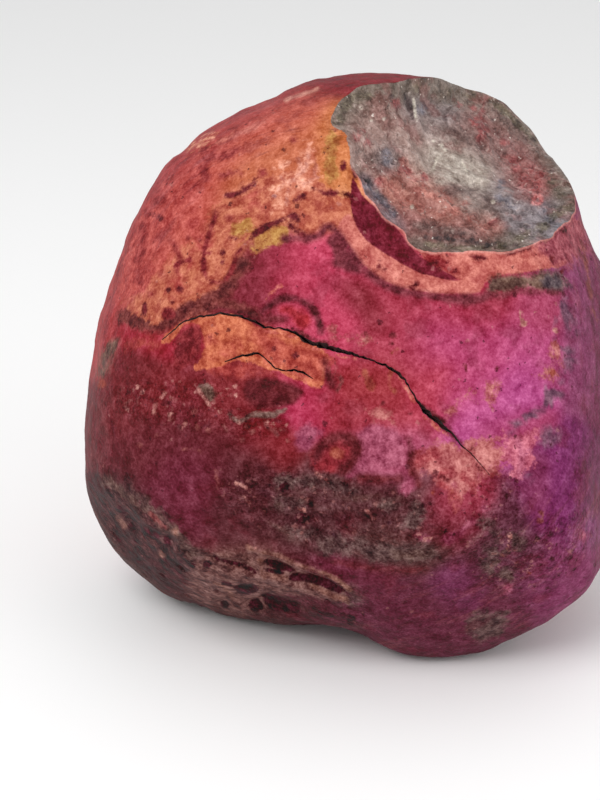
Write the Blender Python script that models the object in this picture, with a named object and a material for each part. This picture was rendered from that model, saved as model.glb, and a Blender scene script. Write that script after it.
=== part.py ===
"""A dyed agate geode, whole but for one chip.

One natural stone: a lopsided boulder about 108 mm wide, with a long crack across its face,
a broken window high on the right and a worn flat underneath to rest on.

Metres, +Z up, -Y towards the viewer. The origin is on the floor, under the middle of the stone's box.

The stone is drawn in its face frame: u runs to the right, w up the face, t out of the face. The
face leans back from upright, so u, w and t are turned into X, Y and Z at the very end. Places on
the face are given as on a plan of it, seen from the point EYE, and on_face() lays them on the stone.
"""

import math

import bmesh
import bpy
import numpy as np
from mathutils import Matrix, Vector, noise

MM = 0.001

# ---- driving dimensions ------------------------------------------------------------------------
FACE_LEAN = math.radians(20)
FACE_CENTRE = Vector((-1.44, 1.6, 48.0)) * MM
EYE = np.array((-10.0, -6.0, 359.0)) * MM

# The outline of the face: its reach from the centre every 15 degrees, anticlockwise from the right.
OUTLINE = np.array((
    55.5, 54.4, 53.1, 58.5, 63.0, 59.6,
    58.2, 56.3, 54.7, 53.2, 51.0, 50.6,
    51.5, 54.9, 58.3, 59.4, 55.9, 52.7,
    51.4, 59.2, 60.6, 61.4, 62.5, 58.4,
)) * MM
# How far the widest part stands out of the centre plane, at the same angles.
OUTLINE_DEPTH = np.array((
    0.0, 0.0, 0.0, -2.0, -3.0, -2.0,
    0.0, 0.0, 0.0, 0.0, 0.0, 0.0,
    0.0, 0.0, -2.0, -5.0, -8.0, -6.0,
    2.0, 9.0, 14.0, 12.0, 6.0, 2.0,
)) * MM
FRONT_DEPTH = 46.0 * MM
BACK_DEPTH = 45.0 * MM
SQUARENESS = 2.35

# Flats worn on the boulder: direction (u, w, t), distance from the centre, rounding of the edge.
FLATS = (
    ((0.93, 0.0, 0.37), 52.0 * MM, 5.0 * MM),
    ((0.08, 0.12, 0.99), 44.5 * MM, 6.0 * MM),
    ((0.10, -0.72, 0.69), 54.0 * MM, 6.0 * MM),
    ((-0.66, -0.66, 0.36), 54.5 * MM, 4.0 * MM),
)
FLOOR_ROUNDING = 3.0 * MM

# Relief all over: width of the lumps, height, and a place in the noise that gives each its own.
LUMPS = (
    (24.0 * MM, 1.3 * MM, 3.1),
    (9.0 * MM, 0.45 * MM, 7.7),
)
# Relief of the face along paths on its plan, in mm: path, half width, height.
SWELLS = (
    (((-32, -24), (-31, -22)), 7.0, 1.3),
    (((-50, -22), (-40, -30), (-30, -37), (-20, -38), (0, -40)), 4.0, 0.9),
    (((1.5, 37), (4, 31), (9, 25.5), (15, 20.5), (20, 18.5)), 3.5, -1.0),
    (((-41, 2), (-36, 3)), 5.0, 0.6),
    (((-24, 24), (-12, 20)), 7.0, 0.5),
    (((-24, -46.6), (-18, -46.9), (-10.5, -47.2)), 2.0, -1.0),
    (((-9, -40.6), (-1, -43.6)), 1.8, -0.8),
    (((-38, -34.4), (-36, -35)), 1.8, -0.6),
)

# The cracks on the plan, left to right: u, w, half width, in mm.
MAIN_CRACK = (
    (-37.5, 6.0, 0.10), (-36.0, 7.5, 0.20), (-33.5, 9.6, 0.25), (-30.0, 10.7, 0.30), (-26.0, 11.3, 0.35),
    (-22.0, 10.8, 0.50), (-20.0, 10.2, 0.50), (-17.0, 8.5, 0.35), (-14.0, 8.3, 0.35), (-11.0, 7.5, 0.50),
    (-9.0, 6.0, 0.50), (-7.0, 5.2, 0.45), (-4.0, 4.5, 0.50), (-1.0, 3.6, 0.40), (1.0, 3.0, 0.25),
    (4.0, 2.2, 0.20), (7.0, 1.0, 0.25), (9.5, -0.6, 0.40), (11.0, -2.0, 0.35), (13.0, -5.5, 0.40),
    (15.0, -8.2, 0.50), (18.0, -10.8, 0.45), (20.0, -12.2, 0.35), (22.5, -15.3, 0.30), (24.0, -16.5, 0.20),
    (28.0, -21.0, 0.08),
)
SHORT_CRACK = (
    (-25.0, 1.7, 0.10), (-22.0, 2.7, 0.40), (-20.0, 3.1, 0.40), (-18.3, 3.4, 0.30), (-16.0, 1.5, 0.25),
    (-15.0, 0.3, 0.25), (-13.0, -0.1, 0.25), (-11.0, 0.0, 0.35), (-9.5, -0.5, 0.35), (-7.4, -1.7, 0.10),
)
CRACK_DEPTH = 5.0 * MM
CRACK_OVERLAP = 2.0 * MM
# The ledge below the main crack, in mm on the plan: it stands proud of what is above, and fades out.
LEDGE_HEIGHT, LEDGE_WIDTH = 0.9 * MM, 12.0
LEDGE_DROP, LEDGE_DROP_WIDTH = 0.5 * MM, 5.0
LEDGE_EDGE = 0.8
LEDGE_MIDDLE, LEDGE_HALF_LENGTH = -5.0, 33.0

# The chip's broken face, in the face frame: its middle, the way it faces, and how it bends away from
# flat, per mm: dished across, dished downhill, and twisted.
CHIP_MIDDLE = np.array((20.1, 34.7, 22.7)) * MM
CHIP_FACING = np.array((0.377, 0.689, 0.619))
CHIP_REACH = 38.0 * MM
CHIP_DISH_ACROSS, CHIP_DISH_DOWN, CHIP_TWIST = 0.0070, 0.0019, -0.0113
CHIP_FACETS = ((9.0 * MM, 1.3 * MM, 1.9), (4.5 * MM, 0.7 * MM, 5.3))
# Swells of the broken face along paths on the plan, in mm: path, half width, height.
CHIP_SWELLS = (
    (((-1, 45), (0.5, 41), (2, 38)), 3.5, 1.5),
    (((-2, 52), (-1, 54.5), (2, 57)), 3.4, -1.7),
    (((9, 58.5), (15, 59.5)), 3.5, 3.4),
    (((12.6, 24.6), (13.4, 25)), 2.5, -1.0),
    (((20, 51), (30, 47)), 3.0, 0.7),
    (((17, 42), (25, 38.4)), 3.6, -0.6),
)
CHIP_THICKNESS = 45.0 * MM

CELLS = 25
CHIP_CELLS = 24


# ---- the boulder's form ------------------------------------------------------------------------
def around(values, angle):
    """A closed smooth curve through evenly spaced values, read at these angles."""
    count = len(values)
    place = (angle / (2 * math.pi) * count) % count
    low = np.floor(place).astype(int) % count
    s = place - np.floor(place)
    before, here, after, beyond = (values[(low + k) % count] for k in (-1, 0, 1, 2))
    slope, next_slope = (after - before) / 2, (beyond - here) / 2
    return (
        here * (2 * s**3 - 3 * s**2 + 1)
        + slope * (s**3 - 2 * s**2 + s)
        + after * (3 * s**2 - 2 * s**3)
        + next_slope * (s**3 - s**2)
    )


def soft_least(a, b, rounding):
    """The smaller of two lengths, with the edge between them rounded."""
    h = np.clip(0.5 + 0.5 * (b - a) / rounding, 0.0, 1.0)
    return b * (1 - h) + a * h - rounding * h * (1 - h)


def plane_reach(directions, normal, distance):
    """How far each direction goes before it meets a plane, or very far if it never does."""
    facing = directions @ (np.array(normal) / np.linalg.norm(normal))
    return distance / np.maximum(facing, 0.02)


def form_reach(directions):
    """The boulder's reach from its centre in each direction, before relief and the flat underneath."""
    across = np.hypot(directions[:, 0], directions[:, 1])
    angle = np.arctan2(directions[:, 1], directions[:, 0])
    outline = around(OUTLINE, angle)
    out = directions[:, 2] - across * around(OUTLINE_DEPTH, angle) / outline
    depth = np.where(out > 0, FRONT_DEPTH, BACK_DEPTH)
    reach = ((across / outline) ** SQUARENESS + (np.abs(out) / depth) ** SQUARENESS) ** (-1 / SQUARENESS)
    for normal, distance, rounding in FLATS:
        reach = soft_least(reach, plane_reach(directions, normal, distance), rounding)
    return reach


# ---- relief ------------------------------------------------------------------------------------
def plan_of(points):
    """Where points of the stone lie on the plan of the face, in mm."""
    ahead = points - EYE
    return (EYE[:2] - ahead[:, :2] * (EYE[2] / ahead[:, 2])[:, None]) / MM


def to_path(plan, path):
    """Distance of plan points from a path, and +1 or -1 for its left or right side."""
    path = np.array(path, float)
    best, side = np.full(len(plan), np.inf), np.ones(len(plan))
    for start, end in zip(path[:-1, :2], path[1:, :2]):
        run = end - start
        along = np.clip(((plan - start) @ run) / (run @ run), 0.0, 1.0)
        off = plan - start - along[:, None] * run
        distance = np.hypot(off[:, 0], off[:, 1])
        nearer = distance < best
        best = np.where(nearer, distance, best)
        side = np.where(nearer, np.sign(run[0] * off[:, 1] - run[1] * off[:, 0]), side)
    return best, side


def lumps(points, layers):
    return sum(
        height * np.array([noise.noise(Vector(point / width) + Vector((place, 0, 0))) for point in points])
        for width, height, place in layers
    )


def swell(plan, swells):
    """The height in mm of swells along paths on the plan."""
    height = np.zeros(len(plan))
    for path, half_width, rise in swells:
        distance, _ = to_path(plan, path)
        height += rise * np.exp(-((distance / half_width) ** 2))
    return height


def relief(points):
    """The height of the stone's own relief over its plain form."""
    height = lumps(points, LUMPS)
    plan = plan_of(points)
    on_the_face = np.clip(points[:, 2] / (12 * MM), 0.0, 1.0)
    distance, side = to_path(plan, MAIN_CRACK)
    below = LEDGE_HEIGHT * np.exp(-distance / LEDGE_WIDTH)
    above = -LEDGE_DROP * np.exp(-distance / LEDGE_DROP_WIDTH)
    over = np.clip(0.5 + 0.5 * side * distance / LEDGE_EDGE, 0.0, 1.0)
    from_end = np.abs(plan[:, 0] - LEDGE_MIDDLE) / LEDGE_HALF_LENGTH
    ledge = np.clip(2.0 * (1.0 - from_end), 0.0, 1.0) * (below + (above - below) * over)
    return height + on_the_face * (swell(plan, SWELLS) * MM + ledge)


def stone_reach(directions):
    """The finished stone's reach: its form with relief, cut by the flat that it rests on."""
    reach = form_reach(directions)
    reach = reach + relief(directions * reach[:, None])
    down = (0.0, -math.cos(FACE_LEAN), -math.sin(FACE_LEAN))
    return soft_least(reach, plane_reach(directions, down, FACE_CENTRE.z), FLOOR_ROUNDING)


def on_face(plan, reach_of=form_reach):
    """Lays points of the face's plan on the stone, where the line of sight from EYE meets it."""
    plan = np.atleast_2d(plan) * MM
    ahead = np.column_stack((plan, np.zeros(len(plan)))) - EYE
    near, far = np.full(len(plan), 0.6), np.ones(len(plan))
    for _ in range(30):
        middle = (near + far) / 2
        points = EYE + ahead * middle[:, None]
        length = np.linalg.norm(points, axis=1)
        outside = length > reach_of(points / length[:, None])
        near, far = np.where(outside, middle, near), np.where(outside, far, middle)
    return EYE + ahead * far[:, None]


# ---- the solids --------------------------------------------------------------------------------
def to_world():
    turn = Matrix.Rotation(math.pi / 2 - FACE_LEAN, 4, "X")
    return Matrix.Translation(FACE_CENTRE) @ turn


def material(name, colour, roughness):
    made = bpy.data.materials.new(name)
    made.use_nodes = True
    shader = made.node_tree.nodes["Principled BSDF"]
    shader.inputs["Base Color"].default_value = (*colour, 1.0)
    shader.inputs["Roughness"].default_value = roughness
    shader.inputs["Metallic"].default_value = 0.0
    made.diffuse_color = (*colour, 1.0)
    return made


def add_object(name, shape, finish, collection):
    """Makes an object of a bmesh drawn in the face frame."""
    bmesh.ops.recalc_face_normals(shape, faces=shape.faces)
    shape.transform(to_world())
    mesh = bpy.data.meshes.new(name)
    shape.to_mesh(mesh)
    shape.free()
    mesh.materials.append(finish)
    made = bpy.data.objects.new(name, mesh)
    collection.objects.link(made)
    return made


def even_ball(cells):
    """A unit ball from a cube of square cells, spread so that the cells come out nearly even."""
    ball = bmesh.new()
    bmesh.ops.create_cube(ball, size=2.0)
    bmesh.ops.subdivide_edges(ball, edges=ball.edges[:], cuts=cells - 1, use_grid_fill=True)
    for vert in ball.verts:
        vert.co = Vector(math.tan(c * math.pi / 4) for c in vert.co).normalized()
    return ball


def boulder():
    ball = even_ball(CELLS)
    directions = np.array([vert.co for vert in ball.verts])
    for vert, reach in zip(ball.verts, stone_reach(directions)):
        vert.co = vert.co * reach
    return ball


def chip_cutter():
    """What the chip took away: a slab whose near side is the broken face, bulged and rough."""
    facing = Vector(CHIP_FACING).normalized()
    downhill = Vector((1.0, 0.0, 0.0)).cross(facing).normalized()
    across = downhill.cross(facing).normalized()
    slab = bmesh.new()
    bmesh.ops.create_grid(slab, x_segments=CHIP_CELLS, y_segments=CHIP_CELLS, size=CHIP_REACH)
    x, y = np.array([vert.co[:2] for vert in slab.verts]).T
    places = CHIP_MIDDLE + x[:, None] * np.array(across) + y[:, None] * np.array(downhill)
    bend = (CHIP_DISH_ACROSS * x**2 + CHIP_DISH_DOWN * y**2 + CHIP_TWIST * x * y) / MM
    rough = lumps(places, CHIP_FACETS)
    places = places + bend[:, None] * np.array(facing)
    rough += swell(plan_of(places), CHIP_SWELLS) * MM
    places = places + rough[:, None] * np.array(facing)
    for vert, place in zip(slab.verts, places):
        vert.co = place
    near_side = slab.faces[:]
    grown = bmesh.ops.extrude_face_region(slab, geom=near_side, use_keep_orig=True)
    lifted = [part for part in grown["geom"] if isinstance(part, bmesh.types.BMVert)]
    bmesh.ops.translate(slab, verts=lifted, vec=facing * CHIP_THICKNESS)
    return slab


def crack_cutter(path):
    """A blade along a crack: widest above the stone, thinning to an edge below it."""
    path = np.array(path)
    middles = on_face(path[:, :2], stone_reach)
    blade = bmesh.new()
    rings = []
    for place, middle in enumerate(middles):
        run = middles[min(place + 1, len(path) - 1)] - middles[max(place - 1, 0)]
        out = middle / np.linalg.norm(middle)
        sideways = np.cross(out, run)
        sideways /= np.linalg.norm(sideways)
        depth = CRACK_DEPTH * min(1.0, path[place, 2] / 0.3)
        half = path[place, 2] * MM * (CRACK_OVERLAP + depth) / depth
        top = middle + out * CRACK_OVERLAP
        corners = (top + sideways * half, top - sideways * half, middle - out * depth)
        rings.append([blade.verts.new(corner) for corner in corners])
    for ring, following in zip(rings, rings[1:]):
        for a, b in ((0, 1), (1, 2), (2, 0)):
            blade.faces.new((ring[a], ring[b], following[b], following[a]))
    blade.faces.new(rings[0])
    blade.faces.new(rings[-1][::-1])
    return blade


def cut(stone, cutter):
    cutter.hide_render = True
    cutter.display_type = "WIRE"
    boolean = stone.modifiers.new(cutter.name, "BOOLEAN")
    boolean.operation = "DIFFERENCE"
    boolean.solver = "EXACT"
    boolean.material_mode = "TRANSFER"
    boolean.object = cutter


def build():
    pieces = bpy.data.collections.new("agate_geode")
    cutters = bpy.data.collections.new("cutters")
    for collection in (pieces, cutters):
        bpy.context.scene.collection.children.link(collection)

    dyed_rind = material("dyed_rind", (0.42, 0.12, 0.12), 0.6)
    broken_agate = material("broken_agate", (0.25, 0.19, 0.18), 0.45)
    crack_wall = material("crack_wall", (0.03, 0.012, 0.01), 0.8)

    stone = add_object("geode", boulder(), dyed_rind, pieces)
    stone.data.shade_smooth()
    cut(stone, add_object("chip_cutter", chip_cutter(), broken_agate, cutters))
    cut(stone, add_object("main_crack_cutter", crack_cutter(MAIN_CRACK), crack_wall, cutters))
    cut(stone, add_object("short_crack_cutter", crack_cutter(SHORT_CRACK), crack_wall, cutters))


for old in list(bpy.data.objects):
    bpy.data.objects.remove(old)
build()
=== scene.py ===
"""The finished agate geode: a dyed, pitted boulder with its cracks and the grey glassy face of its chip.

Metres, +Z up, -Y towards the viewer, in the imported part's frame. The stone is worked out in its own
face frame, where u runs to the right, w up the face and t out of it, and is then turned into place.
Places on the face are given as on a flat plan of it, in mm, seen from the point EYE: on_face() lays
them on the stone and plan_of() goes back. Colours are given as sRGB, from 0 to 255.
"""

import math

import bmesh
import bpy
import numpy as np
from mathutils import Matrix, Vector, kdtree, noise


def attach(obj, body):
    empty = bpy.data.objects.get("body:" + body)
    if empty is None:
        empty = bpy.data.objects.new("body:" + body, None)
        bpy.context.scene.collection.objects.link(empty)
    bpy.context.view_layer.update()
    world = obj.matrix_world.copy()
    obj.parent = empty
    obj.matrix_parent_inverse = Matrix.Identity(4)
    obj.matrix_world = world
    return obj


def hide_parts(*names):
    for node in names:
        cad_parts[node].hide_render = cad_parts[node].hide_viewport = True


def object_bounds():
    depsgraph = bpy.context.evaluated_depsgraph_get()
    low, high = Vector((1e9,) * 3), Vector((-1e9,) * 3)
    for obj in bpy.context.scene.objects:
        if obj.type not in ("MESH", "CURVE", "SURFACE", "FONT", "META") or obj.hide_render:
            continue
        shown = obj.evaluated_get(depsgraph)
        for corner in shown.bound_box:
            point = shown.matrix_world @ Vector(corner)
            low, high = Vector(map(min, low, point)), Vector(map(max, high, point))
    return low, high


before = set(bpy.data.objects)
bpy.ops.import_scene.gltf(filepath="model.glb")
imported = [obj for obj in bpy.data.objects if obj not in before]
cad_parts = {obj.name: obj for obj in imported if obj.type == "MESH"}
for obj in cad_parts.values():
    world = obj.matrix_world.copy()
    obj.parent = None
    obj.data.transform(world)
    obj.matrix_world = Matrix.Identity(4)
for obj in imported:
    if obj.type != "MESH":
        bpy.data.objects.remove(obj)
CAD_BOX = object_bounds()

MM = 0.001

# ---- the stone's form: the part's own driving dimensions -----------------------------------------
FACE_LEAN = math.radians(20)
FACE_CENTRE = Vector((-1.44, 1.6, 48.0)) * MM
EYE = np.array((-10.0, -6.0, 359.0)) * MM

# The outline of the face: its reach from the centre every 15 degrees, anticlockwise from the right.
OUTLINE = np.array((
    55.5, 54.4, 53.1, 58.5, 63.0, 59.6,
    58.2, 56.3, 54.7, 53.2, 51.0, 50.6,
    51.5, 54.9, 58.3, 59.4, 55.9, 52.7,
    51.4, 59.2, 60.6, 61.4, 62.5, 58.4,
)) * MM
# How far the widest part stands out of the centre plane, at the same angles.
OUTLINE_DEPTH = np.array((
    0.0, 0.0, 0.0, -2.0, -3.0, -2.0,
    0.0, 0.0, 0.0, 0.0, 0.0, 0.0,
    0.0, 0.0, -2.0, -5.0, -8.0, -6.0,
    2.0, 9.0, 14.0, 12.0, 6.0, 2.0,
)) * MM
# How far the stone reaches in front of that plane and behind it, and how boxy its curves are (2 is round).
FRONT_DEPTH = 46.0 * MM
BACK_DEPTH = 45.0 * MM
SQUARENESS = 2.35

# Flats worn on the boulder: direction (u, w, t), distance from the centre, rounding of the edge.
FLATS = (
    ((0.93, 0.0, 0.37), 52.0 * MM, 5.0 * MM),
    ((0.08, 0.12, 0.99), 44.5 * MM, 6.0 * MM),
    ((0.10, -0.72, 0.69), 54.0 * MM, 6.0 * MM),
    ((-0.66, -0.66, 0.36), 54.5 * MM, 4.0 * MM),
)
FLOOR_ROUNDING = 3.0 * MM
# A plane that a direction faces less than this counts as very far away.
LEAST_FACING = 0.02

# Relief all over: width of the lumps, height, and a place in the noise that gives each its own.
LUMPS = (
    (24.0 * MM, 1.3 * MM, 3.1),
    (9.0 * MM, 0.45 * MM, 7.7),
)
# Relief of the face along paths on its plan, in mm: path, half width, height. It fades in over
# this distance out of the centre plane.
SWELLS_FADE = 12.0 * MM
SWELLS = (
    (((-32, -24), (-31, -22)), 7.0, 1.3),
    (((-50, -22), (-40, -30), (-30, -37), (-20, -38), (0, -40)), 4.0, 0.9),
    (((1.5, 37), (4, 31), (9, 25.5), (15, 20.5), (20, 18.5)), 3.5, -1.0),
    (((-41, 2), (-36, 3)), 5.0, 0.6),
    (((-24, 24), (-12, 20)), 7.0, 0.5),
    (((-24, -46.6), (-18, -46.9), (-10.5, -47.2)), 2.0, -1.0),
    (((-9, -40.6), (-1, -43.6)), 1.8, -0.8),
    (((-38, -34.4), (-36, -35)), 1.8, -0.6),
)

# The cracks on the plan, left to right: u, w, half width, in mm.
MAIN_CRACK = (
    (-37.5, 6.0, 0.08), (-36.0, 7.5, 0.12), (-33.5, 9.6, 0.16), (-30.0, 10.7, 0.20), (-26.0, 11.3, 0.20),
    (-22.0, 10.8, 0.28), (-20.0, 10.2, 0.24), (-17.0, 8.5, 0.18), (-14.0, 8.3, 0.18), (-11.0, 7.5, 0.26),
    (-9.0, 6.0, 0.38), (-7.0, 5.2, 0.44), (-4.0, 4.5, 0.50), (-1.0, 3.6, 0.38), (1.0, 3.0, 0.24),
    (4.0, 2.2, 0.17), (7.0, 1.0, 0.22), (9.5, -0.6, 0.32), (11.0, -2.0, 0.20), (13.0, -5.5, 0.18),
    (15.0, -8.2, 0.42), (18.0, -10.8, 0.38), (20.0, -12.2, 0.20), (22.5, -15.3, 0.12), (24.0, -16.5, 0.08),
    (28.0, -21.0, 0.04),
)
SHORT_CRACK = (
    (-25.0, 1.7, 0.08), (-22.0, 2.7, 0.18), (-20.0, 3.1, 0.20), (-18.3, 3.4, 0.16), (-16.0, 1.5, 0.12),
    (-15.0, 0.3, 0.12), (-13.0, -0.1, 0.14), (-11.0, 0.0, 0.20), (-9.5, -0.5, 0.18), (-7.4, -1.7, 0.08),
)
# A crack is this deep where it is at least this wide (half width, mm), and shallower where it closes.
CRACK_DEPTH = 5.0 * MM
FULL_DEPTH_WIDTH = 0.3
CRACK_OVERLAP = 2.0 * MM
# The small jogs of a crack, in mm: how often, how far to the side where it is open, and how much of its
# width comes and goes.
CRACK_STEP = 0.4
JOGS_PER_MM = 1.1
JOG_REACH = 0.28
JOG_OPEN_WIDTH = 0.2
JOG_WIDTH_CHANGE = 0.5
JOG_SEED = 1
# The ledge below the main crack, in mm on the plan: it stands proud of what is above, and fades out.
LEDGE_HEIGHT, LEDGE_WIDTH = 0.9 * MM, 12.0
LEDGE_DROP, LEDGE_DROP_WIDTH = 0.5 * MM, 5.0
LEDGE_EDGE = 0.8
LEDGE_MIDDLE, LEDGE_HALF_LENGTH = -5.0, 33.0

# The chip's broken face, in the face frame: its middle, the way it faces, and how it bends away from
# flat, per mm: dished across, dished downhill, and twisted.
CHIP_MIDDLE = np.array((20.1, 34.7, 22.7)) * MM
CHIP_FACING = np.array((0.377, 0.689, 0.619))
CHIP_REACH = 38.0 * MM
CHIP_DISH_ACROSS, CHIP_DISH_DOWN, CHIP_TWIST = 0.0070, 0.0019, -0.0113
# Its broad facets: width, height, place in the noise.
CHIP_FACETS = ((9.0 * MM, 1.3 * MM, 1.9), (4.5 * MM, 0.7 * MM, 5.3))
# Swells of the broken face along paths on the plan, in mm: path, half width, height.
CHIP_SWELLS = (
    (((-1, 45), (0.5, 41), (2, 38)), 3.5, 1.5),
    (((-2, 52), (-1, 54.5), (2, 57)), 3.4, -1.7),
    (((9, 58.5), (15, 59.5)), 3.5, 3.4),
    (((12.6, 24.6), (13.4, 25)), 2.5, -1.0),
    (((20, 51), (30, 47)), 3.0, 0.7),
    (((17, 42), (25, 38.4)), 3.6, -0.6),
)
CHIP_THICKNESS = 45.0 * MM

# ---- how finely the finished stone is made --------------------------------------------------------
# Cells along each edge of the cube that the rind is blown up from, and how much closer they lie on the face.
RIND_CELLS = 112
FACE_CLOSENESS = 1.3
CHIP_CELLS = 220
# How far below the rind the broken face's grain is at its full height, and its share at the rim.
RIM_EASE = 2.5 * MM
GRAIN_AT_RIM = 0.15
# A line of sight is searched for the stone between these shares of its way from EYE to the centre plane,
# by halving that stretch this many times.
SIGHT_BEGINS, SIGHT_ENDS = 0.6, 1.0
SIGHT_HALVINGS = 30


# ---- the boulder's form --------------------------------------------------------------------------
def around(values, angle):
    """A closed smooth curve through evenly spaced values, read at these angles."""
    count = len(values)
    place = (angle / (2 * math.pi) * count) % count
    low = np.floor(place).astype(int) % count
    s = place - np.floor(place)
    before, here, after, beyond = (values[(low + k) % count] for k in (-1, 0, 1, 2))
    slope, next_slope = (after - before) / 2, (beyond - here) / 2
    return (
        here * (2 * s**3 - 3 * s**2 + 1)
        + slope * (s**3 - 2 * s**2 + s)
        + after * (3 * s**2 - 2 * s**3)
        + next_slope * (s**3 - s**2)
    )


def soft_least(a, b, rounding):
    """The smaller of two lengths, with the edge between them rounded."""
    h = np.clip(0.5 + 0.5 * (b - a) / rounding, 0.0, 1.0)
    return b * (1 - h) + a * h - rounding * h * (1 - h)


def plane_reach(directions, normal, distance):
    """How far each direction goes before it meets a plane, or very far if it never does."""
    facing = directions @ (np.array(normal) / np.linalg.norm(normal))
    return distance / np.maximum(facing, LEAST_FACING)


def form_reach(directions):
    """The boulder's reach from its centre in each direction, before relief and the flat underneath."""
    across = np.hypot(directions[:, 0], directions[:, 1])
    angle = np.arctan2(directions[:, 1], directions[:, 0])
    outline = around(OUTLINE, angle)
    out = directions[:, 2] - across * around(OUTLINE_DEPTH, angle) / outline
    depth = np.where(out > 0, FRONT_DEPTH, BACK_DEPTH)
    reach = ((across / outline) ** SQUARENESS + (np.abs(out) / depth) ** SQUARENESS) ** (-1 / SQUARENESS)
    for normal, distance, rounding in FLATS:
        reach = soft_least(reach, plane_reach(directions, normal, distance), rounding)
    return reach


def plan_of(points):
    """Where points of the stone lie on the plan of the face, in mm."""
    ahead = points - EYE
    return (EYE[:2] - ahead[:, :2] * (EYE[2] / ahead[:, 2])[:, None]) / MM


def to_path(plan, path):
    """Distance of plan points from a path, and +1 or -1 for its left or right side."""
    path = np.array(path, float)
    best, side = np.full(len(plan), np.inf), np.ones(len(plan))
    for start, end in zip(path[:-1, :2], path[1:, :2]):
        run = end - start
        along = np.clip(((plan - start) @ run) / (run @ run), 0.0, 1.0)
        off = plan - start - along[:, None] * run
        distance = np.hypot(off[:, 0], off[:, 1])
        nearer = distance < best
        best = np.where(nearer, distance, best)
        side = np.where(nearer, np.sign(run[0] * off[:, 1] - run[1] * off[:, 0]), side)
    return best, side


def lumps(points, layers):
    """The height of noise in layers, each a width, a height and a place in the noise."""
    return sum(
        height * np.array([noise.noise(Vector(point / width) + Vector((place, 0, 0))) for point in points])
        for width, height, place in layers
    )


def swell(plan, swells):
    """The height in mm of swells along paths on the plan."""
    height = np.zeros(len(plan))
    for path, half_width, rise in swells:
        distance, _ = to_path(plan, path)
        height += rise * np.exp(-((distance / half_width) ** 2))
    return height


def relief(points):
    """The height of the stone's own relief over its plain form."""
    height = lumps(points, LUMPS)
    plan = plan_of(points)
    on_the_face = np.clip(points[:, 2] / SWELLS_FADE, 0.0, 1.0)
    distance, side = to_path(plan, MAIN_CRACK)
    below = LEDGE_HEIGHT * np.exp(-distance / LEDGE_WIDTH)
    above = -LEDGE_DROP * np.exp(-distance / LEDGE_DROP_WIDTH)
    over = np.clip(0.5 + 0.5 * side * distance / LEDGE_EDGE, 0.0, 1.0)
    from_end = np.abs(plan[:, 0] - LEDGE_MIDDLE) / LEDGE_HALF_LENGTH
    ledge = np.clip(2.0 * (1.0 - from_end), 0.0, 1.0) * (below + (above - below) * over)
    return height + on_the_face * (swell(plan, SWELLS) * MM + ledge)


def stone_reach(directions):
    """The finished stone's reach: its form with relief, cut by the flat that it rests on."""
    reach = form_reach(directions)
    reach = reach + relief(directions * reach[:, None])
    down = (0.0, -math.cos(FACE_LEAN), -math.sin(FACE_LEAN))
    return soft_least(reach, plane_reach(directions, down, FACE_CENTRE.z), FLOOR_ROUNDING)


def on_face(plan, reach_of=form_reach):
    """Lays points of the face's plan on the stone, where the line of sight from EYE meets it."""
    plan = np.atleast_2d(plan) * MM
    ahead = np.column_stack((plan, np.zeros(len(plan)))) - EYE
    near, far = np.full(len(plan), SIGHT_BEGINS), np.full(len(plan), SIGHT_ENDS)
    for _ in range(SIGHT_HALVINGS):
        middle = (near + far) / 2
        points = EYE + ahead * middle[:, None]
        length = np.linalg.norm(points, axis=1)
        outside = length > reach_of(points / length[:, None])
        near, far = np.where(outside, middle, near), np.where(outside, far, middle)
    return EYE + ahead * far[:, None]


def to_world():
    """The turn and move from the face frame to the part's frame."""
    turn = Matrix.Rotation(math.pi / 2 - FACE_LEAN, 4, "X")
    return Matrix.Translation(FACE_CENTRE) @ turn


# ---- mesh helpers --------------------------------------------------------------------------------
def vertex_values(mesh, field):
    flat = np.empty(len(mesh.vertices) * 3, np.float32)
    mesh.vertices.foreach_get(field, flat)
    return flat.reshape(-1, 3)


def places_of(mesh):
    return vertex_values(mesh, "co").astype(float)


def add_piece(name, shape, finish):
    """Makes an object of a bmesh or a mesh."""
    if isinstance(shape, bmesh.types.BMesh):
        mesh = bpy.data.meshes.new(name)
        shape.to_mesh(mesh)
        shape.free()
    else:
        mesh = shape
    mesh.materials.append(finish)
    piece = bpy.data.objects.new(name, mesh)
    bpy.context.scene.collection.objects.link(piece)
    return piece


def applied(piece, name):
    """The piece's mesh with its modifiers worked out, as a plain mesh."""
    bpy.context.view_layer.update()
    graph = bpy.context.evaluated_depsgraph_get()
    mesh = bpy.data.meshes.new_from_object(piece.evaluated_get(graph), depsgraph=graph)
    mesh.name = name
    return mesh


# ---- where each dye, painted shade and painted highlight lies ------------------------------------
# A shape on the plan is its kind, its size in mm and its points.
def area(*corners):
    return "area", 0.0, corners


def line(half_width, *points):
    return "line", half_width, points


def spots(radius, *middles):
    return "spots", radius, middles
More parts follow.
